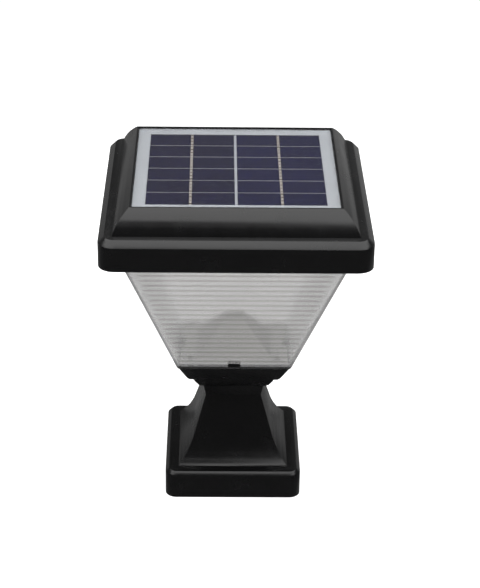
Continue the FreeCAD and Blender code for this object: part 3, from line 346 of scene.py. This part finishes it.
core = wire.node("GeometryNodeMeshCone", {}, {
    "Vertices": 20, "Radius Top": ask["shank_radius"] * 0.82,
    "Radius Bottom": ask["shank_radius"] * 0.4, "Depth": ask["length"],
})
tip = wire.node("ShaderNodeCombineXYZ", {}, {2: 0 - ask["length"]})
shank = wire.node("GeometryNodeTransform", {}, {"Geometry": core, "Translation": tip})
helix = wire.node("GeometryNodeCurveSpiral", {}, {
    "Resolution": 14, "Rotations": ask["length"] * THREADED / ask["pitch"],
    "Start Radius": ask["shank_radius"] * 0.42, "End Radius": ask["shank_radius"] * 0.74,
    "Height": ask["length"] * THREADED,
})
ridge = wire.node("GeometryNodeCurvePrimitiveCircle", {}, {
    "Resolution": 3, "Radius": ask["shank_radius"] * 0.22,
})
thread = wire.node("GeometryNodeCurveToMesh", {}, {
    "Curve": helix, "Profile Curve": ridge, "Fill Caps": True,
})
cut = wire.node("GeometryNodeTransform", {}, {"Geometry": thread, "Translation": tip})
screw = wire.node("GeometryNodeJoinGeometry", {}, {0: [head, shank, cut]})
round_screw = wire.node("GeometryNodeSetShadeSmooth", {"domain": "FACE"}, {
    "Geometry": screw, "Shade Smooth": True,
})
bend = wire.node("GeometryNodeInputMeshEdgeAngle", {}, {})
crisp = wire.node("GeometryNodeSetShadeSmooth", {"domain": "EDGE"}, {
    "Geometry": round_screw, "Selection": bend > math.radians(CRISP_BEND), "Shade Smooth": False,
})
placed = wire.node("GeometryNodeInstanceOnPoints", {}, {
    "Points": wire, "Instance": crisp, "Rotation": ask["turn"],
})
grown(screw_tree, placed, zinc)

UP = (0.0, 0.0, 0.0)
DOWN = (math.pi, 0.0, 0.0)
PAN_HEAD = {
    "seat_radius": 2.8 * MM, "crown_radius": 2.3 * MM, "head_height": 1.8 * MM, "dome": 0.5 * MM,
    "shank_radius": 1.5 * MM, "pitch": 1.1 * MM, "recess": 3.2 * MM,
}


def screws(node, turn, length, *places):
    """Pan head screws with their heads' undersides at places in mm, in place of a CAD node."""
    mesh = grow(screw_tree, seats(node, *places), turn=turn, length=length * MM, **PAN_HEAD)
    new_piece(node + "_cut", mesh, LAMP, None, node)


def corners(reach_x, reach_y, z, y=0.0):
    """The four corners of a rectangle at a height, in mm."""
    return [(x, y + side, z) for x in (-reach_x, reach_x) for side in (-reach_y, reach_y)]


left_and_right = []
for side, turn in ((-1, (0.0, -math.pi / 2, 0.0)), (1, (0.0, math.pi / 2, 0.0))):
    left_and_right.append(grow(
        screw_tree, seats("locking", (side * LOCK_SEAT, 0, LOCK_HEIGHT)), turn=turn,
        seat_radius=2.0 * MM, crown_radius=3.75 * MM, head_height=1.88 * MM, dome=0.0,
        shank_radius=2.0 * MM, length=6.0 * MM, pitch=1.4 * MM, recess=4.2 * MM,
    ))
pair = bmesh.new()
for mesh in left_and_right:
    pair.from_mesh(mesh)
locking_mesh = bpy.data.meshes.new("locking_pair")
pair.to_mesh(locking_mesh)
pair.free()
new_piece("locking_pair", locking_mesh, LAMP, zinc, "locking_screws")

galvanised, sheet_shader, place = finish("galvanised sheet steel", (0.5, 0.51, 0.52), 0.4, 1.0)
spangle = cells(place, 260.0).out("Color")
tint = spangle.node("ShaderNodeSeparateColor", {}, {0: spangle})
tint.mix((0.44, 0.45, 0.46), (0.58, 0.59, 0.60)).feed(sheet_shader, "Base Color")
(tint * 0.22 + 0.3).feed(sheet_shader, "Roughness")
bumpy(noise(place, 1400.0), sheet_shader, 0.01 * MM)
dress(galvanised, "mounting_bracket")


# Pedestal: one hollow moulding of satin black ABS, the square foot, the cove and the tapering
# column. It is pushed over the bracket; its edges are slightly rounded.
SAME_POINT = 0.001
FLAT_BEND = 0.2
SHARP_BEND = 25


def soft_edged(node, width, segments=2):
    """A copy of a node's solid with whole flat faces and its edges rounded to a width in mm."""
    solid = bmesh.new()
    solid.from_mesh(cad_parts[node].data)
    bmesh.ops.remove_doubles(solid, verts=solid.verts, dist=SAME_POINT * MM)
    bmesh.ops.dissolve_limit(
        solid, angle_limit=math.radians(FLAT_BEND), verts=solid.verts, edges=solid.edges,
    )
    for face in solid.faces:
        face.smooth = True
    mesh = bpy.data.meshes.new(node)
    solid.to_mesh(mesh)
    solid.free()
    rough = bpy.data.objects.new(node + "_rough", mesh)
    bpy.context.scene.collection.objects.link(rough)
    rounding = rough.modifiers.new("rounding", "BEVEL")
    rounding.width = width * MM
    rounding.segments = segments
    rounding.limit_method = "ANGLE"
    rounding.angle_limit = math.radians(SHARP_BEND)
    rounding.use_clamp_overlap = True
    rounding.harden_normals = True
    return plain_mesh(rough)


black_abs, black_shader, place = finish("satin black ABS", (0.003, 0.003, 0.0033), 0.3)
flow = noise(place, 70.0, 4.0)
flow.mix((0.0044, 0.0044, 0.0046), (0.0062, 0.0062, 0.0066)).feed(black_shader, "Base Color")
(flow * GLOSS_SPREAD + 0.17).feed(black_shader, "Roughness")
bumpy(noise(place, 2600.0), black_shader, 0.010 * MM)
new_piece("pedestal_shell", soft_edged("pedestal", 0.5), LAMP, black_abs, "pedestal")


# Neck: the black ABS cup in steps between the column and the shade, with four snap tabs on its
# rim. Four screws through its floor hold it to the pedestal, and a silicone ring seals it.
new_piece("neck_cup", soft_edged("neck", 0.35), LAMP, black_abs, "neck")
screws("neck_screws", UP, 10.5, *corners(9.5, 9.5, 64.2))
grey_silicone = mottled(
    "grey silicone", (0.5, 0.5, 0.49), 0.55, patch=300.0, grain=1800.0, depth=0.02,
)
dress(grey_silicone, "neck_seal", "top_seal")


# Shade: clear polycarbonate, tapering to the neck, with a flange on top. Saw-tooth ribs moulded
# on the inside of each wall, stopping short of the corners, spread the light.
SHADE_FOOT = 88.3
SHADE_FOOT_HALF = 34.77
SHADE_LEAN = 0.364856
SHADE_WALL = 2.0
COLLAR_TOP = 91.4
COLLAR_FADE = 0.8
CORNER_ROUND = 1.0
CORNER_LENGTH = 30.0
RIB_COUNT = 21
RIB_BASE = 94.3
RIB_PITCH = 4.0
RIB_DEPTH = 0.35
RIB_MARGIN = 3.0
HOLLOW_UNDER = 94.0
HOLLOW_OVER = 179.6
HOLLOW_GAP = 0.003
CUT_POINT = 0.012
PLUG_ENDS = (94.61, 178.9)
RING_POINTS = 20
WALL_POINTS = 5
NUDGE = 0.01


def shade_half(height):
    """Half the shade's outer width in mm at a height in mm."""
    return SHADE_FOOT_HALF + (height - SHADE_FOOT) * SHADE_LEAN


# The hollow is a drum whose rings of points are pushed out to a square, every other one dug in
# as a rib's root. Its point numbers run round the four walls, from corner to corner.
core_tree, ask = growth_tree(
    "ribbed_core", ribs="Int", pitch="Float", depth="Float", margin="Float", foot="Float",
    foot_half="Float", lean="Float", under="Float", over="Float",
)
wire = ask["Geometry"]
drum = wire.node("GeometryNodeMeshCylinder", {"fill_type": "NGON"}, {
    "Vertices": RING_POINTS, "Side Segments": ask["ribs"] * 2 + 2, "Radius": 1.0, "Depth": 1.0,
})
spot = wire.node("ShaderNodeSeparateXYZ", {}, {0: wire.node("GeometryNodeInputPosition", {}, {})})
ring = ((ask["ribs"] * 2 + 2) * (spot.out("Z") + 0.5)).math("ROUND")
bearing = spot.out("Y").math("ARCTAN2", spot)
count = (bearing * (RING_POINTS / 2 / math.pi) + RING_POINTS).math("ROUND")
corner = count % WALL_POINTS
wall = (count / WALL_POINTS + NUDGE).math("FLOOR")
last = ask["ribs"] * 2 + 1.5
tooth = (ring / 2 + NUDGE).math("FLOOR")
inner = (ring > 0.5) * (ring < last)
ribbed_level = (tooth * ask["pitch"] + ask["foot"]) * inner
level = ribbed_level + ask["under"] * (ring < 0.5) + ask["over"] * (ring > last)
half = (level - ask["foot"]) * ask["lean"] + ask["foot_half"]
even = 1 - ring % 2
dig = ask["depth"] * inner * even
side = half - ask["margin"]
at_corner = corner < 0.5
along = (side * ((corner > 2.5) * 2 - 1)) * (1 - at_corner) - half * at_corner
across = dig * (corner > 1.5) * (corner < 3.5) - half
flat = wire.node("ShaderNodeCombineXYZ", {}, {0: along, 1: across, 2: level})
faced = wire.node("ShaderNodeVectorRotate", {"rotation_type": "Z_AXIS"}, {
    "Vector": flat, "Angle": wall * (math.pi / 2),
})
core = wire.node("GeometryNodeSetPosition", {}, {"Geometry": drum, "Position": faced})

clear_resin, clear_shader, place = finish(
    "clear polycarbonate", (0.86, 0.86, 0.85), 0.12, transmission_weight=0.8, ior=1.5,
)
spot = place.node("ShaderNodeSeparateXYZ", {}, {0: place})
height = spot.out("Z")
wide = spot.math("ABSOLUTE")
deep = spot.out("Y").math("ABSOLUTE")
short_of_corner = 1 - (wide.math("MINIMUM", deep) / wide.math("MAXIMUM", deep)).step(0.89, 0.93)
ribbed = (height > RIB_BASE * MM) * (height < (RIB_BASE + RIB_PITCH * RIB_COUNT) * MM)
# Painted shade: a darker band at each rib, stopping short of the corners, stands in for the dark
# lines that the ribs' refraction makes.
rib_phase = ((height - RIB_BASE * MM) / (RIB_PITCH * MM)).math("PINGPONG", 0.5)
painted_rib_shade = rib_phase.step(0.2, 0.4) * ribbed * short_of_corner
wall_tone_with_rib_shade = painted_rib_shade.mix((0.74, 0.74, 0.74), (0.55, 0.54, 0.53))
# Painted shade: below the collar top the clear plastic is painted very dark, standing in for the
# black neck seen through it.
collar_shade_mask = height.step(COLLAR_TOP * MM, (COLLAR_TOP + COLLAR_FADE) * MM)
collar_shade_mask.mix((0.12, 0.12, 0.12), wall_tone_with_rib_shade).feed(clear_shader, "Base Color")
(noise(place, 60.0, 3.0) * 0.03 + 0.13).feed(clear_shader, "Roughness")


def let_lamps_through(material, shader, tint):
    """Lets the lamps' light through clear plastic, which glass alone would stop."""
    solid = Wire(material.node_tree, shader.outputs["BSDF"])
    for_lamps = solid.node("ShaderNodeLightPath", {}, {}).out("Is Shadow Ray")
    open_way = solid.node("ShaderNodeBsdfTransparent", {}, {"Color": (tint, tint, tint, 1)})
    skin = solid.node("ShaderNodeMixShader", {}, {0: for_lamps, 1: solid, 2: open_way})
    skin.feed(material.node_tree.nodes["Material Output"], "Surface")


let_lamps_through(clear_resin, clear_shader, 0.88)
grown(core_tree, core, clear_resin)

core_mesh = grow(
    core_tree, seats("core"), ribs=RIB_COUNT, pitch=RIB_PITCH * MM, depth=RIB_DEPTH * MM,
    margin=RIB_MARGIN * MM, foot=RIB_BASE * MM, lean=SHADE_LEAN,
    foot_half=(shade_half(RIB_BASE) - SHADE_WALL - HOLLOW_GAP) * MM,
    under=HOLLOW_UNDER * MM, over=HOLLOW_OVER * MM,
)

# A plug fills the ribs of the solid, before the hollow with the finer ribs is cut into it.
plug = bmesh.new()
plug_rings = []
for end in PLUG_ENDS:
    span = (shade_half(end) - SHADE_WALL / 2) * MM
    plug_rings.append([
        plug.verts.new((x * span, y * span, end * MM))
        for x, y in ((-1, -1), (1, -1), (1, 1), (-1, 1))
    ])
low_ring, high_ring = plug_rings
plug.faces.new(reversed(low_ring))
plug.faces.new(high_ring)
for here in range(4):
    there = (here + 1) % 4
    plug.faces.new((low_ring[here], low_ring[there], high_ring[there], high_ring[here]))
plug_mesh = bpy.data.meshes.new("plug")
plug.to_mesh(plug_mesh)
plug.free()

shade_solid = bmesh.new()
shade_solid.from_mesh(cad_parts["diffuser"].data)
bmesh.ops.remove_doubles(shade_solid, verts=shade_solid.verts, dist=SAME_POINT * MM)
shade_mesh = bpy.data.meshes.new("shade")
shade_solid.to_mesh(shade_mesh)
shade_solid.free()
shade = bpy.data.objects.new("shade_blank", shade_mesh)
bpy.context.scene.collection.objects.link(shade)
carvers = []
for name, mesh, operation in (("plug", plug_mesh, "UNION"), ("core", core_mesh, "DIFFERENCE")):
    carver = bpy.data.objects.new(name, mesh)
    bpy.context.scene.collection.objects.link(carver)
    carving = shade.modifiers.new(name, "BOOLEAN")
    carving.operation = operation
    carving.solver = "EXACT"
    carving.object = carver
    carvers.append(carver)
shade_mesh = plain_mesh(shade)
for carver in carvers:
    bpy.data.objects.remove(carver)
trimmed = bmesh.new()
trimmed.from_mesh(shade_mesh)
bmesh.ops.remove_doubles(trimmed, verts=trimmed.verts, dist=CUT_POINT * MM)
bmesh.ops.dissolve_limit(
    trimmed, angle_limit=math.radians(FLAT_BEND), verts=trimmed.verts, edges=trimmed.edges,
)


def at_outer_corner(vert):
    """Whether a point lies on one of the shade's four leaning outer corners."""
    reach = shade_half(vert.co.z / MM) * MM
    return all(abs(abs(part) - reach) < 0.1 * MM for part in vert.co.xy)


long_corners = [
    edge for edge in trimmed.edges
    if edge.calc_length() > CORNER_LENGTH * MM and all(at_outer_corner(vert) for vert in edge.verts)
]
bmesh.ops.bevel(
    trimmed, geom=long_corners, offset=CORNER_ROUND * MM, segments=3, profile=0.5,
    affect="EDGES", clamp_overlap=True,
)
trimmed.to_mesh(shade_mesh)
trimmed.free()
new_piece("ribbed_shade", shade_mesh, LAMP, clear_resin, "diffuser")
screws("diffuser_screws", UP, 9.5, *corners(27, 27, 93.7))


# Reflector: a hollow blunt pyramid of plastic, vacuum-metallised in satin silver, on a thin
# flange that the shade's four screws clamp to its floor.
FLANGE_TOP = 93.75
PYRAMID_FOOT = 94.1
satin_silver, silver_shader, place = finish("satin silver", (0.7, 0.69, 0.67), 0.42, 0.9)
height = place.node("ShaderNodeSeparateXYZ", {}, {0: place}).out("Z")
# Painted light: the flange is given a pale colour with no metal, so that it looks lighter than the
# dim inside of the shade lights it.
pyramid_over_pale_flange = height.step(FLANGE_TOP * MM, PYRAMID_FOOT * MM)
streaks = noise(stretched(place, 1.0, 1.0, 0.15), 500.0, 3.0)
silver = streaks.mix((0.62, 0.61, 0.59), (0.74, 0.73, 0.71))
pyramid_over_pale_flange.mix((0.80, 0.80, 0.78), silver).feed(silver_shader, "Base Color")
(pyramid_over_pale_flange * 0.9).feed(silver_shader, "Metallic")
(streaks * 0.16 + 0.27).feed(silver_shader, "Roughness")
bumpy(noise(place, 2200.0), silver_shader, 0.015 * MM)
new_piece("reflector_pyramid", soft_edged("reflector", 0.3), LAMP, satin_silver, "reflector")


# Light tray: the white ABS plate that closes the hood from below, with posts for the boards and
# the battery. Four screws hold it to the hood.
white_abs = mottled("white ABS", (0.78, 0.78, 0.77), 0.5, patch=60.0, grain=2200.0, tone=0.04)
dress(white_abs, "light_tray")
screws("tray_screws", DOWN, 9.0, *corners(56, 56, 183.6))


# Hood: one hollow black ABS moulding of the square skirt, the lip and the curved plinth that
# holds the solar panel in a recess. Four screws pull it down on the shade's flange.
new_piece("hood_moulding", soft_edged("hood_shell", 0.6, 3), LAMP, black_abs, "hood_shell")
screws("hood_screws", DOWN, 10.0, *corners(72.3, 72.3, 180.8))


# Solar panel: twelve strips of polycrystalline silicon on a pale laminate, joined by two tinned
# ribbons with four solder joints on each strip, under a clear cast resin.
CELL_LEFT = -52.9
CELL_FRONT = -54.32
CELL_LENGTH = 52.1
CELL_WIDTH = 17.25
COLUMN_PITCH = 53.7
COLUMN_MARGIN = 0.8
ROW_PITCH = 17.8
ROW_MARGIN = 0.27
ROWS = 6
FINGER_PITCH = 1.9
JOINT_HEIGHT = 209.22
JOINT_OFFSETS = (1.5, 6.2, 11.0, 15.7)
COVER_MIDDLE = 209.5
COVER_LIFT = 0.03

foam = mottled("closed cell foam", (0.05, 0.05, 0.05), 0.85, patch=500.0, grain=1500.0, depth=0.08)
dress(foam, "panel_adhesive")

laminate, laminate_shader, place = finish("pale laminate", (0.47, 0.49, 0.52), 0.5)
warp = noise(stretched(place, 1.0, 0.2, 1.0), 1800.0)
weft = noise(stretched(place, 0.2, 1.0, 1.0), 1800.0)
tone = (warp + weft) * 0.5
tone.mix((0.265, 0.28, 0.30), (0.315, 0.33, 0.35)).feed(laminate_shader, "Base Color")
bumpy(tone, laminate_shader, 0.01 * MM)
dress(laminate, "panel_backboard")

silicon, silicon_shader, place = finish(
    "polycrystalline silicon", (0.012, 0.011, 0.02), 0.35, specular_ior_level=0.04,
)
spot = place.node("ShaderNodeSeparateXYZ", {}, {0: place})
column = ((spot - CELL_LEFT * MM + COLUMN_MARGIN * MM) / (COLUMN_PITCH * MM)).math("FLOOR")
row = ((spot.out("Y") - CELL_FRONT * MM + ROW_MARGIN * MM) / (ROW_PITCH * MM)).math("FLOOR")
strip = place.node("ShaderNodeCombineXYZ", {}, {0: column, 1: row, 2: 0.5})
strip_tone = place.node("ShaderNodeTexWhiteNoise", {"noise_dimensions": "3D"}, {"Vector": strip})
crystal = cells(stretched(place, 1.0, 0.7, 1.0), 190.0).out("Color")
facet = crystal.node("ShaderNodeSeparateColor", {}, {0: crystal})
cloud = noise(place, 28.0, 2.0)
blueness = column * 0.45 + cloud * 0.35 + strip_tone * 0.15 + facet * 0.12
wafer = blueness.mix((0.0042, 0.0034, 0.0130), (0.0036, 0.0036, 0.0250))
finger_place = (spot.out("Y") / (FINGER_PITCH * MM)).math("PINGPONG", 0.5)
finger = 1 - finger_place.step(0.04, 0.10)
printed = (finger * 0.45).mix(wafer, (0.032, 0.032, 0.048))
# The pale band along each strip's edges is partly the pale laminate between the strips and partly a
# painted glint on the cells' edges.
across_strip = spot.out("Y") - CELL_FRONT * MM - row * (ROW_PITCH * MM)
half_strip = CELL_WIDTH * MM / 2
from_edge = half_strip - (across_strip - half_strip).math("ABSOLUTE")
laminate_and_glint_edge = 1 - from_edge.step(0.08 * MM, 0.16 * MM)
laminate_and_glint_edge.mix(printed, (0.27, 0.27, 0.28)).feed(silicon_shader, "Base Color")
(facet * 0.08 + 0.3).feed(silicon_shader, "Roughness")
bumpy(facet, silicon_shader, 0.002 * MM)
dress(silicon, "solar_cells")

ribbon_metal, ribbon_shader, place = finish("tinned ribbon", (0.62, 0.58, 0.52), 0.45, 0.6)
drag = noise(stretched(place, 1.0, 0.1, 1.0), 900.0, 3.0)
drag.mix((0.27, 0.25, 0.225), (0.44, 0.41, 0.38)).feed(ribbon_shader, "Base Color")
(drag * 0.3 + 0.4).feed(ribbon_shader, "Roughness")
bumpy(drag, ribbon_shader, 0.02 * MM)
dress(ribbon_metal, "bus_ribbons")

solder, solder_shader, place = finish("solder", (0.30, 0.25, 0.17), 0.4, 0.4)
flux = noise(place, 1500.0, 3.0)
flux.mix((0.03, 0.022, 0.014), (0.10, 0.08, 0.055)).feed(solder_shader, "Base Color")
(flux * 0.3 + 0.25).feed(solder_shader, "Roughness")
solder_tree, ask = growth_tree("solder_joints", width="Float", rise="Float", seed="Int")
wire = ask["Geometry"]
ball = wire.node("GeometryNodeMeshIcoSphere", {}, {"Radius": 0.5, "Subdivisions": 2})
girth = wire.node("FunctionNodeRandomValue", {"data_type": "FLOAT"}, {
    "Min": 0.7, "Max": 1.15, "Seed": ask["seed"],
})
bulk = wire.node("ShaderNodeCombineXYZ", {}, {
    0: girth * ask["width"], 1: girth * girth * ask["width"], 2: ask["rise"],
})
drops = wire.node("GeometryNodeInstanceOnPoints", {}, {
    "Points": wire, "Instance": ball, "Scale": bulk,
})
grown(solder_tree, drops, solder)
ribbon_middle = CELL_LEFT + CELL_LENGTH / 2
joints = [
    (ribbon_middle + COLUMN_PITCH * side, CELL_FRONT + ROW_PITCH * number + offset, JOINT_HEIGHT)
    for side in (0, 1) for number in range(ROWS) for offset in JOINT_OFFSETS
]
joint_mesh = grow(solder_tree, seats("joints", *joints), width=1.7 * MM, rise=0.3 * MM, seed=4)
new_piece("solder_joints", joint_mesh, LAMP, None)

# The cover's underside clears the cells by a hair, so that no two faces lie in one plane.
cover, cover_shader, place = finish(
    "clear cast resin", (1.0, 1.0, 1.0), 0.05, transmission_weight=1.0, ior=1.5,
)
wander = noise(place, 35.0, 2.0)
(wander * 0.03 + 0.03).feed(cover_shader, "Roughness")
bumpy(wander, cover_shader, 0.004 * MM)
let_lamps_through(cover, cover_shader, 1.0)
cast = bmesh.new()
cast.from_mesh(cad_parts["panel_glaze"].data)
for vert in cast.verts:
    if vert.co.z < COVER_MIDDLE * MM:
        vert.co.z += COVER_LIFT * MM
cast_mesh = bpy.data.meshes.new("cast_cover")
cast.to_mesh(cast_mesh)
cast.free()
new_piece("cast_cover", cast_mesh, LAMP, cover, "panel_glaze")


# Lamp board: a white lacquered aluminium-core board under the tray, with twelve white packages
# that each hold a yellow phosphor lamp in a round well.
LAMP_PITCH = 14
LAMP_MIDDLE = 181.6
white_board, lacquer_shader, place = finish("white lacquered board", (0.8, 0.8, 0.78), 0.3)
spot = place.node("ShaderNodeSeparateXYZ", {}, {0: place})
bed = (spot.out("Y") / (LAMP_PITCH * MM)).math("PINGPONG", 0.5)
track = (bed - 0.02).math("ABSOLUTE")
copper = 1 - track.step(0.10, 0.13)
copper.mix((0.80, 0.80, 0.78), (0.70, 0.69, 0.64)).feed(lacquer_shader, "Base Color")
(noise(place, 400.0) * 0.2 + 0.22).feed(lacquer_shader, "Roughness")
bumpy(copper, lacquer_shader, 0.03 * MM)
dress(white_board, "led_board")
screws("led_board_screws", DOWN, 6.0, *corners(24, 24, 182.0))

package = mottled(
    "white lamp package", (0.82, 0.82, 0.80), 0.45, patch=600.0, grain=3000.0, tone=0.04,
)
phosphor, glow_shader, place = finish("yellow phosphor", (0.85, 0.62, 0.10), 0.3)
grit = noise(place, 5000.0, 2.0)
grit.mix((0.75, 0.50, 0.06), (0.92, 0.72, 0.18)).feed(glow_shader, "Base Color")
bumpy(grit, glow_shader, 0.01 * MM)
lamp_tree, ask = growth_tree(
    "lamp_rows", length="Float", width="Float", height="Float", well="Float",
)
wire = ask["Geometry"]
size = wire.node("ShaderNodeCombineXYZ", {}, {0: ask["length"], 1: ask["width"], 2: ask["height"]})
housing = wire.node("GeometryNodeMeshCube", {}, {"Size": size})
bore = wire.node("GeometryNodeMeshCone", {}, {
    "Vertices": 28, "Radius Top": ask["well"] * 0.8, "Radius Bottom": ask["well"],
    "Depth": ask["height"],
})
under = wire.node("ShaderNodeCombineXYZ", {}, {2: ask["height"] * -1.1})
dropped = wire.node("GeometryNodeTransform", {}, {"Geometry": bore, "Translation": under})
shell = wire.node("GeometryNodeMeshBoolean", {"operation": "DIFFERENCE"}, {
    "Mesh 1": housing, "Mesh 2": [dropped],
})
disc = wire.node("GeometryNodeMeshCylinder", {}, {
    "Vertices": 28, "Radius": ask["well"] * 0.86, "Depth": ask["height"] * 0.25,
})
seat = wire.node("ShaderNodeCombineXYZ", {}, {2: ask["height"] * -0.15})
bright = wire.node("GeometryNodeTransform", {}, {"Geometry": disc, "Translation": seat})
bright = wire.node("GeometryNodeSetMaterial", {}, {"Geometry": bright, "Material": phosphor})
unit = wire.node("GeometryNodeJoinGeometry", {}, {0: [shell, bright]})
rows = wire.node("GeometryNodeInstanceOnPoints", {}, {"Points": wire, "Instance": unit})
real = rows.node("GeometryNodeRealizeInstances", {}, {0: rows})
lit = wire.node("GeometryNodeMaterialSelection", {}, {"Material": phosphor})
dressed = real.node("GeometryNodeSetMaterial", {}, {
    "Geometry": real, "Selection": 1 - lit, "Material": package,
})
dressed.feed(lamp_tree.nodes.new("NodeGroupOutput"), "Geometry")
lamp_places = [
    (LAMP_PITCH * (x - 1.5), LAMP_PITCH * (y - 1), LAMP_MIDDLE)
    for x in range(4) for y in range(3)
]
lamp_mesh = grow(
    lamp_tree, seats("lamps", *lamp_places),
    length=3.5 * MM, width=2.8 * MM, height=0.8 * MM, well=1.15 * MM,
)
new_piece("lamp_packages", lamp_mesh, LAMP, None, "leds")


# Control board: green lacquered glass fibre under the hood's lip, with its sockets, chips, choke
# and capacitor, and four screws into the tray's posts.
CAN_SLEEVE_TOP = 199.9
green_board, mask_shader, place = finish(
    "green solder mask", (0.02, 0.15, 0.06), 0.25, coat_weight=0.3,
)
runs = cells(stretched(place, 1.0, 0.25, 1.0), 300.0).out("Distance")
wiring = runs.step(0.32, 0.36)
wiring.mix((0.03, 0.22, 0.09), (0.012, 0.12, 0.045)).feed(mask_shader, "Base Color")
(noise(place, 600.0) * 0.15 + 0.18).feed(mask_shader, "Roughness")
bumpy(wiring, mask_shader, 0.03 * MM)
dress(green_board, "control_board")
screws("board_screws", UP, 5.5, *corners(26, 8, 194.2, 56))
nylon = mottled("off-white nylon", (0.72, 0.70, 0.60), 0.45, patch=400.0, grain=2500.0, tone=0.05)
dress(nylon, "board_sockets")
epoxy = mottled(
    "black epoxy", (0.018, 0.018, 0.018), 0.5, patch=500.0, grain=3500.0, depth=0.02,
)
dress(epoxy, "board_chips", "board_inductor", "battery_holder", "power_switch")
can, can_shader, place = finish("aluminium can", (0.5, 0.5, 0.53), 0.35, 0.9)
sleeve_height = place.node("ShaderNodeSeparateXYZ", {}, {0: place}).out("Z")
band = sleeve_height.step(CAN_SLEEVE_TOP * MM, (CAN_SLEEVE_TOP + 0.1) * MM)
band.mix((0.06, 0.07, 0.10), (0.62, 0.62, 0.64)).feed(can_shader, "Base Color")
(noise(place, 900.0) * 0.2 + 0.25).feed(can_shader, "Roughness")
dress(can, "board_capacitor")


# Battery: one rechargeable cell in a blue shrink sleeve, in a black holder that two screws fix
# to the tray, between nickel plated contacts.
SLEEVE_END = 31.6
sleeve, sleeve_shader, place = finish(
    "blue shrink sleeve", (0.03, 0.13, 0.32), 0.3, coat_weight=0.2,
)
along_cell = place.node("ShaderNodeSeparateXYZ", {}, {0: place}).math("ABSOLUTE")
bare = along_cell.step(SLEEVE_END * MM, (SLEEVE_END + 0.2) * MM)
creases = noise(stretched(place, 4.0, 1.0, 1.0), 160.0, 3.0)
film = creases.mix((0.025, 0.11, 0.28), (0.035, 0.15, 0.37))
bare.mix(film, (0.62, 0.61, 0.58)).feed(sleeve_shader, "Base Color")
bare.feed(sleeve_shader, "Metallic")
bumpy(creases, sleeve_shader, 0.05 * MM)
dress(sleeve, "battery_cell")
screws("holder_screws", UP, 4.5, (-39.65, -46, 191.5), (39.65, -46, 191.5))
nickel = mottled(
    "nickel plate", (0.62, 0.60, 0.56), 0.28, 1.0, patch=500.0, grain=3500.0, tone=0.08,
)
dress(nickel, "battery_contacts")


# Leads: stranded copper in red and black PVC, from the lamps, the panel and the battery to the
# control board's sockets.
red_pvc = mottled("red PVC", (0.42, 0.02, 0.02), 0.42, patch=250.0, grain=2600.0)
black_pvc = mottled("black PVC", (0.015, 0.015, 0.015), 0.42, patch=250.0, grain=2600.0)
dress(red_pvc, "light_lead_red", "panel_lead_red", "battery_lead_red")
dress(black_pvc, "light_lead_black", "panel_lead_black", "battery_lead_black")


# Power button: a dark grey rubbery plunger that comes down through the flange behind the skirt
# and pushes the switch above it.
button_grey, button_shader, place = finish("dark grey rubber", (0.07, 0.07, 0.075), 0.6)
fine = noise(place, 2000.0, 3.0)
fine.mix((0.055, 0.055, 0.06), (0.085, 0.085, 0.09)).feed(button_shader, "Base Color")
(fine * 0.2 + 0.5).feed(button_shader, "Roughness")
bumpy(fine, button_shader, 0.03 * MM)
new_piece("button_cap", soft_edged("power_button", 0.25), "button", button_grey, "power_button")
